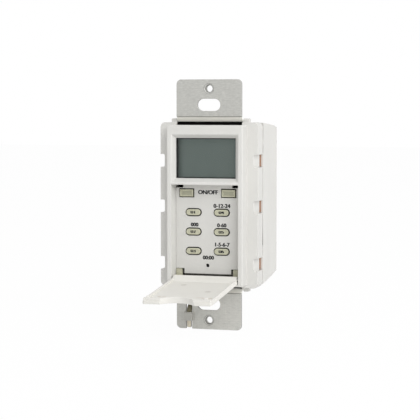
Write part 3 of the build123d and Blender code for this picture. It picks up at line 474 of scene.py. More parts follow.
@dataclass(frozen=True)
class StrapFinish(Finish):
    """Plated sheet: mottled, with a painted highlight where its ears step back, painted shade on its upper
    part, in its creases and over the pressed flares round its holes, and sheared edges.
    """

    mottle: Triple = (212.0, 211.0, 206.0)
    stain: Triple = (150.0, 149.0, 144.0)
    # The tone of painted shade that darkens the upper part, which gets more light
    upper_painted_shade: Triple = (176.0, 176.0, 172.0)
    # The tone of the painted highlight on the step where the ears go back, standing for the white housing
    # it reflects
    step: Triple = (250.0, 249.0, 242.0)
    # The tone of the painted shade in the bend's crease
    crease_shade: Triple = (144.0, 143.0, 138.0)
    sheared: Triple = (116.0, 115.0, 110.0)
    bridge: Triple = (184.0, 183.0, 177.0)
    # The tone of the painted shade over the pressed flare round each screw hole
    flare_shade: Triple = (104.0, 103.0, 98.0)
    speck_spread: Triple = (0.35, 1.0, 1.3)
    speck_scale: float = 1.5
    speck_grain: Pair = (5.0, 0.8)
    upper_from: float = -20.0
    upper_to: float = 34.0
    upper_share: float = 0.55
    speck_range: Triple = (0.34, 0.5, 0.66)
    mottle_share: float = 0.5
    stain_share: float = 0.3
    step_low: float = 33.2
    step_high: float = 36.7
    step_fade: float = 0.2
    crease_low: float = 36.6
    crease_high: float = 36.95
    crease_fade: float = 0.1
    ear_foot: float = 37.0
    ear_fade: float = 0.3
    ring_inner: float = 1.9
    ring_outer: float = 2.35
    ring_share: float = 0.7
    sheet_front: float = 0.2
    sheet_back: float = 1.3
    sheet_fade: float = 0.15
    bridge_front: float = -0.45
    bridge_back: float = -0.3

    def marks(self, graph: Graph, place: Socket) -> Marks:
        """Lay the sheet's marks over it: its mottle and sheared edges, and the painted shade and highlight
        of its pressing.

        Args:
            graph: Where to write.
            place: Object coordinates.

        Returns:
            Each mark's share and its tone, from the lowest up.
        """
        x, y, z = graph.apart(place)
        spread = [factor / MM for factor in self.speck_spread]
        speck = graph.noise(graph.stretch(place, spread), self.speck_scale, *self.speck_grain)
        few, some, many = self.speck_range
        height = graph.math("ABSOLUTE", z)
        off = graph.math("SUBTRACT", height, hole_height())
        radius = graph.math("SQRT", graph.total((x, x), (off, off)))
        flare_shade = graph.band(radius, self.ring_inner, self.ring_outer, self.sheet_fade)
        on_ear = graph.ramp(height, self.ear_foot, self.ear_foot + self.ear_fade)
        within = graph.band(y, self.sheet_front, self.sheet_back, self.sheet_fade)
        return [
            # Painted shade: the upper part darker, for the extra light it gets
            (graph.ramp(z, self.upper_from, self.upper_to, 0.0, self.upper_share), self.upper_painted_shade),
            (graph.ramp(speck, some, many, 0.0, self.mottle_share), self.mottle),
            (graph.ramp(speck, few, some, self.stain_share, 0.0), self.stain),
            # Painted highlight on the step where the ears go back
            (graph.band(height, self.step_low, self.step_high, self.step_fade), self.step),
            # Painted shade in the bend's crease
            (graph.band(height, self.crease_low, self.crease_high, self.crease_fade), self.crease_shade),
            # Painted shade over the pressed flare round each screw hole
            (graph.product(flare_shade, self.ring_share), self.flare_shade),
            (graph.product(within, on_ear), self.sheared),
            (graph.ramp(y, self.bridge_front, self.bridge_back, 1.0, 0.0), self.bridge),
        ]


@dataclass(frozen=True)
class DoorFinish(Finish):
    """Warm white moulding, with painted shade in patches along the foot of the lip, and tinted over the
    ejector pins.
    """

    # The tone of the painted shade in patches at the foot of the lip
    sunk: Triple = (206.0, 193.0, 180.0)
    foot_shade_share: float = 0.7
    mark: Triple = (190.0, 184.0, 176.0)
    mark_share: float = 0.6
    mark_squares: Pair = (0.3, 2.4)
    lip_shade_start: float = 29.6
    lip_shade_end: float = 32.4
    lip_shade_fade: float = 1.2
    patch_grain: Triple = (0.3, 2.0, 0.5)
    patch_range: Pair = (0.48, 0.6)
    skin_over: float = 0.2
    skin_fade: float = 0.15

    def marks(self, graph: Graph, place: Socket) -> Marks:
        """Paint shade in patches at the lip's foot, and tint the ejector marks.

        Args:
            graph: Where to write.
            place: Object coordinates.

        Returns:
            Each mark's share and its tone, from the lowest up.
        """
        x, y, z = graph.apart(place)
        door = Door()
        lean = math.radians(door.droop)
        forward, down = graph.math("SUBTRACT", door.hinge_y, y), graph.math("SUBTRACT", door.hinge_z, z)
        along = graph.total((forward, math.cos(lean)), (down, math.sin(lean)))
        height = graph.total((forward, math.sin(lean)), (down, -math.cos(lean)))
        inner = graph.band(height, door.sunk, door.inner + self.skin_over, self.skin_fade)
        clouds = graph.noise(graph.stretch(place, PER_MM), *self.patch_grain)
        patches = graph.ramp(clouds, *self.patch_range)
        foot = graph.band(along, self.lip_shade_start, self.lip_shade_end, self.lip_shade_fade)
        # Painted shade in patches at the foot of the lip, on the inner face only
        found = [(graph.product(foot, patches, inner, self.foot_shade_share), self.sunk)]
        for across, length in door.MARKS:
            aside, off = graph.math("ADD", x, across), graph.math("SUBTRACT", along, length)
            square = graph.total((aside, aside), (off, off))
            spot = graph.ramp(square, *self.mark_squares, self.mark_share, 0.0)
            found.append((graph.product(spot, inner), self.mark))
        return found


@dataclass(frozen=True)
class ShellFinish(Finish):
    """White moulding with painted shade in its gaps: the seam between the shells, and what lies behind the
    keypad.
    """

    # The tone of the painted shade on what lies behind the keypad
    gap_shade: Triple = (74.0, 70.0, 66.0)
    # The tone of the painted shade in the seam between the shells
    seam_shade: Triple = (120.0, 116.0, 110.0)
    seam_front: float = 7.56
    seam_back: float = 7.94
    bay_half_width: float = 13.95
    bay_bottom: float = -29.8
    bay_top: float = 8.9
    bay_front: float = -1.45
    bay_back: float = 1.2
    fade: float = 0.1

    def marks(self, graph: Graph, place: Socket) -> Marks:
        """Paint shade into the gaps.

        Args:
            graph: Where to write.
            place: Object coordinates.

        Returns:
            Each mark's share and its tone, from the lowest up.
        """
        x, y, z = graph.apart(place)
        reach = self.bay_half_width
        behind = graph.product(
            graph.ramp(graph.math("ABSOLUTE", x), reach - self.fade, reach, 1.0, 0.0),
            graph.band(z, self.bay_bottom, self.bay_top, self.fade),
            graph.band(y, self.bay_front, self.bay_back, self.fade),
        )
        # Painted shade in the seam between the shells
        seam_shade = graph.band(y, self.seam_front, self.seam_back, self.fade / 2)
        return [(behind, self.gap_shade), (seam_shade, self.seam_shade)]


@dataclass(frozen=True)
class SunkFinish(Finish):
    """A moulding that is dark behind a given depth, where it lies in shadow behind another piece."""

    shade: Triple = (40.0, 40.0, 34.0)
    sunk_from: float = -2.0
    sunk_to: float = -1.6

    def marks(self, graph: Graph, place: Socket) -> Marks:
        """Darken what lies behind the given depth."""
        _, y, _ = graph.apart(place)
        return [(graph.ramp(y, self.sunk_from, self.sunk_to), self.shade)]


@dataclass(frozen=True)
class WindowFinish(Finish):
    """Clear sheet, mostly see-through, with fine wiping marks in its gloss."""

    cover: float = 0.06

    def gloss(self, base: Socket) -> dict[str, object]:
        """Make the sheet see-through."""
        return super().gloss(base) | {"Alpha": self.cover}


# The stripped core is lit this far behind its front, and dark from there on
CORE_FRONT = box_mm("ground_wire_end")[0].y
CORE_LIT = 0.3
CORE_DARK = 0.95

FINISHES: dict[Slot, Finish] = {
    finish.slot: finish
    for finish in (
        ShellFinish(Slot.HOUSING, (220, 219, 215), (213, 212, 208), edge=(228, 227, 224)),
        DoorFinish(Slot.DOOR, (233, 231, 225), (227, 225, 219), edge=(235, 234, 230)),
        Finish(Slot.PLATE, (216, 215, 211), (207, 206, 202), grain=4.0, depth=0.012, roughness=(0.5, 0.65)),
        SunkFinish(
            Slot.KEY, (196, 195, 172), (182, 181, 158), edge=(210, 209, 186), wear=0.7,
            roughness=(0.5, 0.62), depth=0.008,
        ),
        Finish(Slot.TAB, (200, 198, 176), (178, 176, 154), edge=(206, 205, 184), roughness=(0.45, 0.6)),
        StrapFinish(
            Slot.STRAP, (207, 206, 200), (188, 188, 183), Texture.ROLLED, (0.38, 0.52), 0.35,
            grain=2.4, depth=0.01, edge=(214, 214, 210),
        ),
        Finish(Slot.PIN, (190, 190, 188), (165, 165, 163), Texture.ROLLED, (0.25, 0.4), 0.9, grain=4.0),
        Finish(Slot.SCREW, (190, 190, 186), (160, 160, 156), Texture.ROLLED, (0.3, 0.45), 0.9, grain=4.0),
        # A black fibre sheet that stands for the deep shade in the slots where the yoke enters the housing
        Finish(
            Slot.SHADE_FIBRE, (11, 11, 11), (5, 5, 5), Texture.FELTED, (0.8, 0.95), edge=(16, 16, 16),
            specular=0.04,
        ),
        Finish(Slot.FRAME, (26, 27, 28), (18, 19, 20), roughness=(0.45, 0.6), edge=(40, 40, 40)),
        WindowFinish(
            Slot.WINDOW, (60, 66, 64), (52, 58, 56), roughness=(0.04, 0.1), depth=0.0002, wear=0.0,
        ),
        PanelFinish(
            Slot.PANEL, (75, 82, 79), (71, 79, 76), roughness=(0.45, 0.5), depth=0.0, wear=0.0,
            grain=1.5, specular=0.1,
        ),
        Finish(Slot.CONNECTOR, (180, 140, 150), (60, 50, 52), Texture.LAYERED, (0.7, 0.8), grain=3.0),
        Finish(Slot.MAT, (150, 152, 150), (135, 137, 135), Texture.FELTED, (0.75, 0.85), grain=3.0),
        Finish(Slot.BOARD, (46, 96, 58), (34, 78, 46), Texture.LAYERED, (0.3, 0.45), grain=2.0),
        Finish(
            Slot.POWER, (176, 118, 76), (122, 74, 44), Texture.LAYERED, (0.5, 0.7), grain=2.0,
            edge=(150, 100, 66),
        ),
        Finish(Slot.CHIP, (42, 42, 44), (32, 32, 34), roughness=(0.5, 0.65), edge=(60, 60, 62)),
        Finish(Slot.CAN, (60, 74, 110), (44, 56, 90), roughness=(0.3, 0.42), edge=(90, 100, 130)),
        Finish(Slot.BATTERY, (200, 200, 196), (180, 180, 176), Texture.ROLLED, (0.2, 0.32), 0.9),
        Finish(Slot.RELAY, (40, 80, 140), (32, 66, 120), roughness=(0.35, 0.5), edge=(70, 110, 165)),
        Finish(Slot.FILM, (210, 175, 60), (192, 156, 46), roughness=(0.35, 0.5), edge=(225, 195, 95)),
        Finish(Slot.VARISTOR, (50, 90, 150), (38, 72, 128), roughness=(0.4, 0.55), edge=(80, 120, 170)),
        Finish(Slot.TERMINAL, (200, 170, 100), (176, 146, 78), Texture.ROLLED, (0.25, 0.4), 0.95),
        Finish(
            Slot.WIRE, (128, 122, 98), (92, 88, 66), roughness=(0.4, 0.55), grain=2.0, edge=(128, 128, 104),
        ),
        SunkFinish(
            Slot.CORE, (234, 228, 210), (190, 180, 158), Texture.ROLLED, (0.3, 0.45), 0.4, grain=5.0,
            shade=(58, 46, 34), sunk_from=CORE_FRONT + CORE_LIT, sunk_to=CORE_FRONT + CORE_DARK,
        ),
    )
}


def new_form() -> Form:
    """Start an empty mesh with the layer that marks worn rims.

    Returns:
        The mesh.
    """
    form = bmesh.new()
    form.loops.layers.float.new(WEAR_LAYER)
    return form


def node_form(node: str) -> Form:
    """Copy a CAD node's form, welded and with its flat faces whole.

    Args:
        node: The CAD node's name.

    Returns:
        The copy.
    """
    form = bmesh.new()
    form.from_mesh(frame["nodes"][node].data)
    bmesh.ops.remove_doubles(form, verts=form.verts, dist=WELD)
    bmesh.ops.dissolve_limit(form, angle_limit=FLAT_ANGLE, verts=form.verts, edges=form.edges)
    form.loops.layers.float.new(WEAR_LAYER)
    return form


def hard_edges(form: Form, wanted: Callable = lambda middle: True) -> list:
    """Find the edges that are still sharp.

    Args:
        form: The mesh.
        wanted: Takes an edge's middle in millimetres and says whether the edge counts.

    Returns:
        The edges.
    """
    found = []
    for edge in form.edges:
        if len(edge.link_faces) == 2 and edge.calc_face_angle(0.0) > HARD_ANGLE:
            middle = (edge.verts[0].co + edge.verts[1].co) / (2 * MM)
            if wanted(middle):
                found.append(edge)
    return found


def round_off(form: Form, edges: list, width: float, segments: int = 2) -> None:
    """Round edges, and mark the new faces as rim that wears.

    Args:
        form: The mesh.
        edges: The edges to round.
        width: The rounding's width in millimetres.
        segments: Faces across the rounding.
    """
    made = bmesh.ops.bevel(
        form, geom=edges, offset=width * MM, offset_type="OFFSET", segments=segments,
        profile=0.5, affect="EDGES", clamp_overlap=False, material=-1,
    )
    rim = form.loops.layers.float[WEAR_LAYER]
    for face in made["faces"]:
        for loop in face.loops:
            loop[rim] = 1.0


def join(target: Form, part: Form) -> None:
    """Add one mesh to another.

    Args:
        target: The mesh that grows.
        part: The mesh that is added, and freed.
    """
    carrier = bpy.data.meshes.new("carrier")
    part.to_mesh(carrier)
    part.free()
    target.from_mesh(carrier)
    bpy.data.meshes.remove(carrier)


def block(low: Triple, high: Triple) -> Form:
    """A block between two corners.

    Args:
        low: The lowest corner in millimetres.
        high: The highest corner in millimetres.

    Returns:
        The block.
    """
    form = new_form()
    corner, far = Vector(low) * MM, Vector(high) * MM
    spread = Matrix.Diagonal((*(far - corner), 1.0))
    bmesh.ops.create_cube(form, size=1.0, matrix=Matrix.Translation((corner + far) / 2) @ spread)
    return form


def prism(outline: Iterable[Pair], low: float, high: float, axis: str = "X") -> Form:
    """A bar with a given section.

    Args:
        outline: The section's corners in millimetres: (y, z) for a bar along X, (x, y) for one along Z.
        low: Where it starts along its axis, in millimetres.
        high: Where it ends along its axis, in millimetres.
        axis: "X" or "Z".

    Returns:
        The bar.
    """
    form = new_form()
    corners = [(low, a, b) if axis == "X" else (a, b, low) for a, b in outline]
    section = form.faces.new([form.verts.new(Vector(corner) * MM) for corner in corners])
    pushed = bmesh.ops.extrude_face_region(form, geom=[section], use_keep_orig=True)["geom"]
    moved = [item for item in pushed if isinstance(item, bmesh.types.BMVert)]
    way = Vector((1.0, 0.0, 0.0)) if axis == "X" else Vector((0.0, 0.0, 1.0))
    bmesh.ops.translate(form, vec=way * (high - low) * MM, verts=moved)
    bmesh.ops.recalc_face_normals(form, faces=form.faces)
    return form


def arc(centre: Pair, radius: float, start: float, stop: float, steps: int) -> list[Pair]:
    """Points along an arc.

    Args:
        centre: Its middle.
        radius: Its radius.
        start: Its first angle in radians, anticlockwise from the first axis.
        stop: Its last angle in radians.
        steps: How many stretches it has.

    Returns:
        The points, both ends among them.
    """
    turns = [start + (stop - start) * step / steps for step in range(steps + 1)]
    return [(centre[0] + radius * math.cos(a), centre[1] + radius * math.sin(a)) for a in turns]


def cylinder(
    radius: float, depth: float, centre: Vector, axis: str = "Z", segments: int = 48, taper: float = 0.0
) -> Form:
    """A round bar.

    Args:
        radius: In millimetres.
        depth: Its length in millimetres.
        centre: Its middle in millimetres.
        axis: "Z" for an upright bar, else the axis it is turned about: "X" for one that faces the
            front, "Y" for one along X.
        segments: Sides of its outline.
        taper: How much smaller its far end's radius is, in millimetres.

    Returns:
        The bar.
    """
    form = new_form()
    turn = Matrix.Rotation(0.0 if axis == "Z" else math.pi / 2, 4, axis)
    bmesh.ops.create_cone(
        form, cap_ends=True, segments=segments, radius1=radius * MM, radius2=(radius - taper) * MM,
        depth=depth * MM, matrix=Matrix.Translation(centre * MM) @ turn,
    )
    return form


def oblong(
    width: float, height: float, front: float, back: float, middle: Vector, segments: int = 50
) -> Form:
    """A block with half-round ends that faces the front.

    Args:
        width: Along X, in millimetres.
        height: Along Z, in millimetres.
        front: Where it starts along Y, in millimetres.
        back: Where it ends along Y, in millimetres.
        middle: Its centre line's place, in millimetres.
        segments: Sides of its two ends together, an even number that isn't a multiple of 4.

    Returns:
        The block.
    """
    form = cylinder(height / 2, back - front, Vector((0.0, 0.0, 0.0)), "X", segments)
    for vert in form.verts:
        vert.co.x += math.copysign((width - height) * MM / 2, vert.co.x)
    place = Vector((middle.x, (front + back) / 2, middle.z)) * MM
    bmesh.ops.translate(form, vec=place, verts=form.verts)
    return form


def front_faces(form: Form) -> list:
    """Find the flat faces of a mesh that lie foremost and face the front.

    Args:
        form: The mesh.

    Returns:
        The faces.
    """
    front = min(vert.co.y for vert in form.verts)
    return [
        face for face in form.faces
        if face.normal.y < -FACING and face.calc_center_median().y < front + LEVEL * MM
    ]


@dataclass(frozen=True)
class Cap:
    """The front of a key or pad: how far its edge is rounded, and how it sinks inside a flat rim."""

    rounding: float
    segments: int
    rim: float
    slope: float
    depth: float

    def shape(self, form: Form) -> None:
        """Round the edges of a mesh's foremost face, and sink its middle.

        Args:
            form: The mesh.
        """
        edges = {edge for face in front_faces(form) for edge in face.edges}
        round_off(form, list(edges), self.rounding, self.segments)
        faces = front_faces(form)
        for width, sink in ((self.rim, 0.0), (self.slope, self.depth)):
            bmesh.ops.inset_region(
                form, faces=faces, thickness=width * MM, depth=-sink * MM, use_even_offset=True
            )


def place_object(name: str, data: bpy.types.ID | Form) -> bpy.types.Object:
    """Make an object and link it into the scene.

    Args:
        name: Its name.
        data: Its data, or a form to make a mesh from, which is freed.

    Returns:
        The object.
    """
    if isinstance(data, Form):
        form, data = data, bpy.data.meshes.new(name)
        form.to_mesh(data)
        form.free()
    made = bpy.data.objects.new(name, data)
    bpy.context.scene.collection.objects.link(made)
    return made


def settle(form: Form, name: str, body: str, slot: Slot, nodes: Iterable[str] = ()) -> None:
    """Make a mesh into a finished piece that rides on a body.

    Args:
        form: The mesh, which is freed.
        name: The piece's name.
        body: The CAD body that it rides on.
        slot: Where its finish comes from.
        nodes: The CAD nodes that it stands for.
    """
    piece = place_object(name, form)
    piece.data.shade_smooth()
    piece.data.set_sharp_from_angle(angle=HARD_ANGLE)
    piece.data.materials.append(FINISHES[slot].material)
    weighted = piece.modifiers.new("weighted_normals", "WEIGHTED_NORMAL")
    weighted.keep_sharp = True
    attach(piece, body)
    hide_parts(*nodes)
    LOG.info("%s: %d faces on %s", name, len(piece.data.polygons), body)


def dress(node: str, name: str, body: str, slot: Slot, rounding: float) -> None:
    """Make a CAD node's own form, with its edges rounded, into a finished piece.

    Args:
        node: The CAD node's name.
        name: The piece's name.
        body: The CAD body that it rides on.
        slot: Where its finish comes from.
        rounding: The width of its edges' rounding in millimetres.
    """
    form = node_form(node)
    round_off(form, hard_edges(form), rounding)
    settle(form, name, body, slot, [node])


@dataclass
class Housing:
    """The white front and rear shells and the screws between them."""

    rounding: float = 0.14
    rear_rounding: float = 0.18
    bezel_rounding: float = 0.45
    bezel_foot: float = 9.2
    bezel_top: float = 30.5
    bezel_reach: float = 15.5
    screw_head_radius: float = 1.5
    post_reach: float = 3.2
    bore_reach: float = 2.0
    seam_depth: float = 1.0
    screw_rounding: float = 0.06

    def build(self) -> None:
        """Make the shells and screws."""
        form = node_form("front_housing")
        front = min(vert.co.y for vert in form.verts) / MM

        def bezel(middle: Vector) -> bool:
            """Pick the front rim of the display's bezel.

            Args:
                middle: The edge's middle in millimetres.

            Returns:
                Whether it is such an edge.
            """
            across = abs(middle.y - front) < NEAR and abs(middle.x) < self.bezel_reach
            return across and self.bezel_foot < middle.z < self.bezel_top

        round_off(form, hard_edges(form, bezel), self.bezel_rounding, 4)
        round_off(form, hard_edges(form, lambda middle: not bezel(middle)), self.rounding)
        settle(form, "front_housing_shell", "root", Slot.HOUSING, ["front_housing"])
        form = node_form("rear_housing")
        front, back = box_mm("rear_housing")
        low, high = box_mm("housing_screws")
        post_x = high.x - self.screw_head_radius
        post_zs = (low.z + self.screw_head_radius, high.z - self.screw_head_radius)

        def clear(middle: Vector) -> bool:
            """Pick the edges away from the screw posts, and the shell's own outline there.

            Args:
                middle: The edge's middle in millimetres.

            Returns:
                Whether it is such an edge.
            """
            near = min(math.hypot(abs(middle.x) - post_x, middle.z - z) for z in post_zs)
            outside = abs(middle.x) > back.x - NEAR or middle.y > back.y - NEAR
            at_bore = outside and middle.y > front.y + self.seam_depth
            return near > (self.bore_reach if at_bore else self.post_reach)

        round_off(form, hard_edges(form, clear), self.rear_rounding)
        settle(form, "rear_housing_shell", "root", Slot.HOUSING, ["rear_housing"])
        dress("housing_screws", "housing_screw_set", "root", Slot.SCREW, self.screw_rounding)


@dataclass
class Strap:
    """The plated yoke, with flared screw holes in its ears."""

    rounding: float = 0.16
    hole_radius: float = 1.4
    flare: float = 0.95
    flare_depth: float = 1.1
    margin: float = 0.1

    def build(self) -> None:
        """Make the yoke."""
        form = node_form("mounting_strap")
        round_off(form, hard_edges(form, self.rim), self.flare, 5)
        round_off(form, hard_edges(form, self.plain), self.rounding)
        settle(form, "yoke", "root", Slot.STRAP, ["mounting_strap"])

    def near_hole(self, middle: Vector) -> float:
        """How far an edge lies from the nearest screw hole's axis, in millimetres."""
        return math.hypot(middle.x, abs(middle.z) - hole_height())

    def rim(self, middle: Vector) -> bool:
        """Whether an edge is the front rim of a screw hole."""
        return abs(middle.y) < NEAR and self.near_hole(middle) < self.hole_radius + self.margin

    def plain(self, middle: Vector) -> bool:
        """Whether an edge lies outside the flare of a screw hole."""
        reach = self.hole_radius + self.flare + self.margin
        return middle.y >= self.flare_depth or self.near_hole(middle) >= reach


@dataclass
class Keypad:
    """The grey plate, its keys and pads, and the plain numbers printed on them."""

    plate_rounding: float = 0.1
    pin_rounding: float = 0.08
    cap_width: float = 6.15
    cap_height: float = 2.5
    cap: Cap = Cap(0.3, 4, 0.18, 0.3, 0.1)
    flange_thickness: float = 0.5
    stem_radius: float = 1.2
    stem_length: float = 0.3
    pad_width: float = 5.8
    pad_height: float = 3.0
    pad_reach: float = 9.1
    pad_drop: float = 3.45
    pad_cap: Cap = Cap(0.15, 3, 0.3, 0.35, 0.3)
    number_height: float = 1.6
    capital_share: float = 0.7
    ink: float = 0.02
    boldness: float = 0.045
    doubling: float = 0.1
    doubling_rise: float = 0.005

    LEGENDS = (
        ("ON/OFF", 0.2, 5.35, 1.65),
        ("0-12-24", 6.2, -0.3, 1.6),
        ("0-60", 6.15, -8.35, 1.5),
        ("1-5-6-7", 6.2, -16.4, 1.55),
        ("000", -5.65, -8.25, 1.5),
        ("00:00", 0.35, -21.95, 1.5),
    )

    KEYS = ("mode_button", "delete_button", "enter_button", "hour_button", "minute_button", "day_button")

    def build(self) -> None:
        """Make the plate, keys, pads and reset plunger."""
        dress("keypad_plate", "plate", "root", Slot.PLATE, self.plate_rounding)
        front = box_mm("keypad_plate")[0].y
        for number, (text, x, z, height) in enumerate(self.LEGENDS):
            self.words(text, f"legend_{number}", "root", Vector((x, front, z)), height)
        for number, node in enumerate(self.KEYS, 1):
            self.key(node, f"{number:02}")
        self.pads()
        dress("reset_plunger", "reset_pin", "reset_plunger", Slot.FRAME, self.pin_rounding)

    def key(self, node: str, number: str) -> None:
        """Make one key with its dished cap, flange and stem.

        Args:
            node: The CAD node, and the body it rides on.
            number: The plain number on it.
        """
        low, high = box_mm(node)
        middle = (low + high) / 2
        flange_back = high.y - self.stem_length
        flange_front = flange_back - self.flange_thickness
        form = oblong(self.cap_width, self.cap_height, low.y, flange_front, middle)
        self.cap.shape(form)
        join(form, oblong(high.x - low.x, high.z - low.z, flange_front, flange_back, middle))
        stem = Vector((middle.x, (flange_back + high.y) / 2, middle.z))
        join(form, cylinder(self.stem_radius, self.stem_length, stem, "X"))
        settle(form, node + "_cap", node, Slot.KEY, [node])
        face = Vector((middle.x, low.y + self.cap.depth, middle.z))
        self.words(number, node + "_number", node, face, self.number_height)

    def pads(self) -> None:
        """Make the override bar with its two dished pads."""
        low, high = box_mm("override_bar")
        bar_back = high.y - self.stem_length
        bar_front = bar_back - self.flange_thickness
        pad_middle = box_mm("keypad_plate")[1].z - self.pad_drop
        form = block((low.x, bar_front, low.z), (high.x, bar_back, high.z))
        for side in (1, -1):
            left = side * self.pad_reach - self.pad_width / 2
            foot = pad_middle - self.pad_height / 2
            pad = block((left, low.y, foot), (left + self.pad_width, bar_front, foot + self.pad_height))
            self.pad_cap.shape(pad)
            join(form, pad)
            stem = Vector((side * self.pad_reach, (bar_back + high.y) / 2, (low.z + high.z) / 2))
            join(form, cylinder(self.stem_radius, self.stem_length, stem, "X"))
        settle(form, "override_pads", "override_bar", Slot.KEY, ["override_bar"])

    def words(self, text: str, name: str, body: str, middle: Vector, height: float) -> None:
        """Print plain numbers or words on a surface that faces the front.

        Args:
            text: What it says.
            name: The piece's name.
            body: The body that it rides on.
            middle: The middle of the words, on the surface, in millimetres.
            height: The letters' height in millimetres.
        """
        curve = bpy.data.curves.new(name, "FONT")
        curve.body = text
        curve.align_x = "CENTER"
        curve.align_y = "CENTER"
        curve.size = height * MM / self.capital_share
        curve.offset = self.boldness * MM
        curve.extrude = self.ink * MM
        shaper = place_object(name + "_shaper", curve)
        bpy.context.view_layer.update()
        mesh = bpy.data.meshes.new_from_object(shaper.evaluated_get(bpy.context.evaluated_depsgraph_get()))
        bpy.data.objects.remove(shaper)
        form = new_form()
        turn = Matrix.Rotation(math.pi / 2, 4, "X")
        for side in (-1, 1):
            print_pass = bmesh.new()
            print_pass.from_mesh(mesh)
            shift = Vector((self.doubling, self.doubling_rise, 0.0)) * side
            place = Matrix.Translation((middle + shift) * MM)
            bmesh.ops.transform(print_pass, matrix=place @ turn, verts=print_pass.verts)
            join(form, print_pass)
        bpy.data.meshes.remove(mesh)
        settle(form, name, body, Slot.FRAME)


@dataclass
class Door:
    """The open door, its pins and its detent clips. Its own axes are X, length and height."""

    droop: float = 6.58
    hinge_y: float = -5.0
    hinge_z: float = -30.65
    length: float = 39.15
    half_width: float = 14.2
    barrel_radius: float = 1.5
    barrel_half: float = 13.8
    outer: float = -1.5
    inner: float = -0.3
    corner_radius: float = 0.8
    notch_half: float = 7.0
    notch_depth: float = 3.2
    ramp_length: float = 4.2
    rim_start: float = 1.5
    rim_inset: float = 0.15
    rim_width: float = 1.1
    rim_top: float = 0.5
    lip_setback: float = 0.3
    lip_width: float = 1.0
    lip_inset: float = 0.3
    lip_top: float = 1.0
    nub_reach: float = 12.0
    nub_width: float = 1.4
    nub_start: float = 38.0
    nub_length: float = 0.8
    nub_top: float = 1.8
    rounding: float = 0.2
    nub_rounding: float = 0.15
    pin_rounding: float = 0.1
    clip_rounding: float = 0.15
    mark_radius: float = 0.7
    mark_height: float = 0.06

    MARKS = ((6.3, 9.8), (-7.15, 20.1))

    def build(self) -> None:
        """Make the door, pins and clips."""
        form = self.leaf()
        for part in (self.barrel(), self.lip(), *self.rims(), *self.nubs(), *self.marks()):
            join(form, part)
        bmesh.ops.transform(form, matrix=self.placing(), verts=form.verts)
        settle(form, "door_leaf", "door", Slot.DOOR, ["door"])
        dress("door_pivot_pins", "door_pins", "door", Slot.PIN, self.pin_rounding)
        dress("door_detent_tabs", "door_clips", "root", Slot.TAB, self.clip_rounding)

    def placing(self) -> Matrix:
        """Work out the move from the door's own axes to the frame.

        Returns:
            The move.
        """
        a = math.radians(self.droop)
        along = Vector((0.0, -math.cos(a), -math.sin(a)))
        up = Vector((0.0, -math.sin(a), math.cos(a)))
        turn = Matrix((Vector((-1.0, 0.0, 0.0)), along, up)).transposed().to_4x4()
        return Matrix.Translation(Vector((0.0, self.hinge_y, self.hinge_z)) * MM) @ turn

    @property
    def sunk(self) -> float:
        """The height inside the leaf at which what stands on it begins."""
        return (self.outer + self.inner) / 2

    @property
    def notch_radius(self) -> float:
        """The radius of the finger notch in the free end."""
        return (self.notch_half**2 + self.notch_depth**2) / (2 * self.notch_depth)

    @property
    def notch_centre(self) -> float:
        """How far along the door the finger notch has its centre."""
        return self.length - self.notch_depth + self.notch_radius

    def notch(self, radius: float, along: float, back: bool = False) -> list[Pair]:
        """Points of an arc round the finger notch's centre.

        Args:
            radius: The arc's radius.
            along: How far along the door both its ends lie.
            back: Whether it runs from right to left.

        Returns:
            The points, each (x, along).
        """
        lean = math.asin((self.notch_centre - along) / radius)
        points = arc((0.0, self.notch_centre), radius, lean - math.pi, -lean, 24)
        return points[::-1] if back else points

    def leaf(self) -> Form:
        """Make the flat leaf, with its free corners rounded and the finger notch cut out.

        Returns:
            The leaf.
        """
        reach, corner = self.half_width - self.corner_radius, self.length - self.corner_radius
        outline = [
            (-self.barrel_half, 0.0),
            (-self.barrel_half, self.barrel_radius),
            (-self.half_width, self.barrel_radius),
            *arc((-reach, corner), self.corner_radius, math.pi, math.pi / 2, 6),
            *self.notch(self.notch_radius, self.length),
            *arc((reach, corner), self.corner_radius, math.pi / 2, 0.0, 6),
            (self.half_width, self.barrel_radius),
            (self.barrel_half, self.barrel_radius),
            (self.barrel_half, 0.0),
        ]
        form = prism(outline, self.outer, self.inner, "Z")
        round_off(form, hard_edges(form), self.rounding, 3)
        return form

    def barrel(self) -> Form:
        """Make the round root, with the web that runs down from it to the leaf.

        Returns:
            The root and its web.
        """
        form = cylinder(self.barrel_radius, 2 * self.barrel_half, Vector((0.0, 0.0, 0.0)), "Y")
        round_off(form, hard_edges(form), self.rounding, 3)
        lean = math.atan2(self.barrel_radius - self.inner, self.ramp_length)
        start = arc((0.0, 0.0), self.barrel_radius, math.pi / 2, math.pi / 2 - lean, 4)
        section = [(0.0, self.sunk), *start, (self.ramp_length, self.inner), (self.ramp_length, self.sunk)]
        reach = self.barrel_half - self.rounding / 2
        join(form, prism(section, -reach, reach))
        return form

    def bar(self, outline: list[Pair], middle: float, width: float, rounding: float) -> Form:
        """A bar across the door with rounded edges.

        Args:
            outline: Its section, each corner (length, height).
            middle: Its place along X.
            width: Its size along X.
            rounding: The width of the rounding.

        Returns:
            The bar.
        """
        form = prism(outline, middle - width / 2, middle + width / 2)
        round_off(form, hard_edges(form), rounding, 3)
        return form

    def lip(self) -> Form:
        """Make the raised wall along the free end, which follows the finger notch.

        Returns:
            The wall.
        """
        outer = self.length - self.lip_setback
        inner = outer - self.lip_width
        reach = self.half_width - self.lip_inset
        outline = [
            (-reach, inner), (-reach, outer),
            *self.notch(self.notch_radius, outer),
            (reach, outer), (reach, inner),
            *self.notch(self.notch_radius + self.lip_width, inner, back=True),
        ]
        form = prism(outline, self.sunk, self.lip_top, "Z")
        round_off(form, hard_edges(form), self.rounding, 3)
        return form

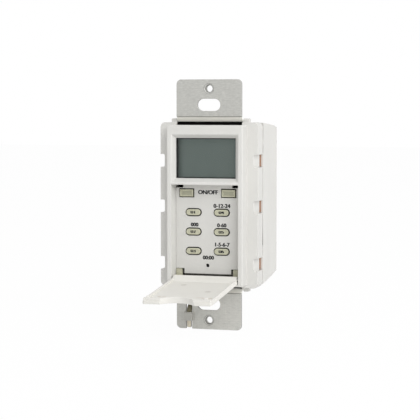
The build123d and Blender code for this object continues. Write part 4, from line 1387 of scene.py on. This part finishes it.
    def rims(self) -> list[Form]:
        """Make the low rims along both sides.

        Returns:
            The two rims.
        """
        start, end = self.rim_start, self.length - self.corner_radius
        outline = [(start, self.sunk), (end, self.sunk), (end, self.rim_top), (start, self.rim_top)]
        reach = self.half_width - self.rim_inset - self.rim_width / 2
        return [self.bar(outline, side * reach, self.rim_width, self.rounding) for side in (1, -1)]

    def nubs(self) -> list[Form]:
        """Make the two latch nubs at the free end.

        Returns:
            The two nubs.
        """
        start, end = self.nub_start, self.nub_start + self.nub_length
        outline = [
            (start, self.sunk), (end, self.sunk), (end, self.nub_top - self.nub_length / 2),
            (start + self.nub_length / 2, self.nub_top), (start, self.nub_top),
        ]
        reach, width, rounding = self.nub_reach, self.nub_width, self.nub_rounding
        return [self.bar(outline, side * reach, width, rounding) for side in (1, -1)]

    def marks(self) -> list[Form]:
        """Make the round marks that the mould's pins leave on the inner face.

        Returns:
            The marks.
        """
        radius, rise = self.mark_radius, self.mark_height
        return [
            cylinder(radius, 2 * rise, Vector((x, along, self.inner)), segments=40, taper=rise)
            for x, along in self.MARKS
        ]


@dataclass
class Display:
    """The window, panel and frame behind the bezel."""

    rounding: float = 0.08

    def build(self) -> None:
        """Make the display's pieces."""
        dress("display_window", "window", "root", Slot.WINDOW, self.rounding)
        dress("lcd_panel", "panel", "root", Slot.PANEL, self.rounding)
        dress("lcd_frame", "panel_frame", "root", Slot.FRAME, self.rounding)


@dataclass
class Wiring:
    """The ground wire with its stripped end."""

    rounding: float = 0.15

    def build(self) -> None:
        """Make the jacket and the core."""
        dress("ground_wire", "ground_jacket", "root", Slot.WIRE, self.rounding)
        settle(node_form("ground_wire_end"), "ground_core", "root", Slot.CORE, ["ground_wire_end"])


class Inside:
    """The sealed parts, which keep their CAD shapes."""

    SLOTS = {
        # Black sheet that stands for the deep shade in the slots where the yoke enters
        "insulating_sheet": Slot.SHADE_FIBRE,
        "power_board": Slot.POWER,
        "display_board": Slot.BOARD,
        "keypad_mat": Slot.MAT,
        "lcd_connectors": Slot.CONNECTOR,
        "reset_switch": Slot.CHIP,
        "controller_chip": Slot.CHIP,
        "clock_crystal": Slot.BATTERY,
        "backup_battery": Slot.BATTERY,
        "board_header": Slot.CHIP,
        "relay": Slot.RELAY,
        "film_capacitor": Slot.FILM,
        "filter_capacitors": Slot.CAN,
        "varistor": Slot.VARISTOR,
        "rectifier_diodes": Slot.CHIP,
        "lead_terminals": Slot.TERMINAL,
    }

    def build(self) -> None:
        """Dress the sealed parts."""
        for node, slot in self.SLOTS.items():
            piece = frame["nodes"][node]
            piece.data.materials.clear()
            piece.data.materials.append(FINISHES[slot].material)
            LOG.info("%s: dressed as %s", node, slot.value)


@dataclass
class Studio:
    """The floor, the light and the camera."""

    target: Triple = (0.53, 0.0, -2.08)
    yaw: float = 16.735
    pitch: float = 3.862
    distance: float = 623.93
    lens: float = 128.22
    sensor: float = 36.0
    clip: Pair = (0.01, 50.0)
    ambient: float = 0.62
    floor_gap: float = 0.05
    floor_size: float = 6.0
    floor_grain: Triple = (400.0, 4.0, 0.6)
    floor_dark: Triple = (246.0, 246.0, 246.0)
    floor_light: Triple = (252.0, 252.0, 252.0)
    floor_roughness: float = 0.95
    glow: float = 0.97

    LAMPS = (
        ("key", 46.0, 34.0, 0.9, 0.7, 0.58),
        ("side", 98.0, 12.0, 0.9, 0.7, 0.085),
    )

    def build(self) -> None:
        """Set up everything that isn't the object."""
        self.camera()
        self.world()
        self.floor()
        for lamp in self.LAMPS:
            self.lamp(*lamp)

    def aim(self, item: bpy.types.Object, yaw: float, pitch: float, distance: float) -> None:
        """Set a camera or lamp at a distance from the origin, looking at it.

        Args:
            item: The camera or lamp.
            yaw: Degrees from straight in front, towards the right.
            pitch: Degrees above the horizon.
            distance: In metres.
        """
        a, e = math.radians(yaw), math.radians(pitch)
        back = Vector((math.sin(a) * math.cos(e), -math.cos(a) * math.cos(e), math.sin(e)))
        item.location = back * distance
        item.rotation_mode = "QUATERNION"
        item.rotation_quaternion = (-back).to_track_quat("-Z", "Y")

    def camera(self) -> None:
        """Place the camera where the photograph was taken from."""
        data = bpy.data.cameras.new("camera")
        data.sensor_width = self.sensor
        data.lens = self.lens
        data.clip_start, data.clip_end = self.clip
        camera = place_object("camera", data)
        self.aim(camera, self.yaw, self.pitch, self.distance * MM)
        camera.location += Vector(self.target) * MM
        bpy.context.scene.camera = camera

    def lamp(self, name: str, yaw: float, pitch: float, distance: float, size: float, share: float) -> None:
        """Place a soft lamp that lights a surface facing it with a share of full light.

        Args:
            name: The lamp's name.
            yaw: Degrees from straight in front, towards the right.
            pitch: Degrees above the horizon.
            distance: From the object, in metres.
            size: The side of its square, in metres.
            share: The light that it gives, where 1 renders a colour as written.
        """
        data = bpy.data.lights.new(name, "AREA")
        data.shape = "SQUARE"
        data.size = size
        data.energy = share * (math.pi * distance) ** 2
        self.aim(place_object(name, data), yaw, pitch, distance)

    def seen(self, graph: Graph) -> Socket:
        """Whether a ray comes from the camera, a reflection or glass.

        Args:
            graph: Where to write.

        Returns:
            1 for such a ray, else 0.
        """
        path = graph.node("ShaderNodeLightPath").outputs
        mirrored = graph.math("MAXIMUM", path["Is Glossy Ray"], path["Is Transmission Ray"])
        return graph.math("MAXIMUM", path["Is Camera Ray"], mirrored)

    def world(self) -> None:
        """A white background with an even, softer light."""
        world = bpy.data.worlds.new("studio")
        graph = Graph.of(world)
        soft, white = (
            graph.node("ShaderNodeBackground", {"Strength": strength, "Color": linear((255, 255, 255))})
            for strength in (self.ambient, 1.0)
        )
        graph.shade(self.seen(graph), soft.outputs[0], white.outputs[0], "ShaderNodeOutputWorld")
        bpy.context.scene.world = world

    def floor(self) -> None:
        """A pale floor just under the object, which keeps its shadow."""
        form = bmesh.new()
        low = CAD_BOX[0].z - self.floor_gap * MM
        bmesh.ops.create_grid(
            form, x_segments=2, y_segments=2, size=self.floor_size / 2,
            matrix=Matrix.Translation((0.0, 0.0, low)),
        )
        floor = place_object("floor", form)
        made = bpy.data.materials.new("floor_paper")
        graph = Graph.of(made)
        fibres = graph.noise(graph.node("ShaderNodeTexCoord").outputs["Object"], *self.floor_grain)
        paper = graph.node("ShaderNodeBsdfPrincipled", {
            "Base Color": graph.blend(fibres, linear(self.floor_dark), linear(self.floor_light)),
            "Roughness": self.floor_roughness,
            "Specular IOR Level": 0.0,
        })
        white = graph.node("ShaderNodeEmission", {"Strength": 1.0})
        share = graph.product(self.seen(graph), self.glow)
        graph.shade(share, paper.outputs[0], white.outputs[0], "ShaderNodeOutputMaterial")
        floor.data.materials.append(made)


def main() -> None:
    """Build the studio and then each sub-assembly."""
    logging.basicConfig(level=logging.INFO, format="%(name)s: %(message)s")
    bpy.context.scene.view_settings.view_transform = "Standard"
    for part in (Studio(), Housing(), Strap(), Keypad(), Door(), Display(), Wiring(), Inside()):
        LOG.info("building %s", type(part).__name__)
        part.build()


if __name__ == "__main__":
    main()
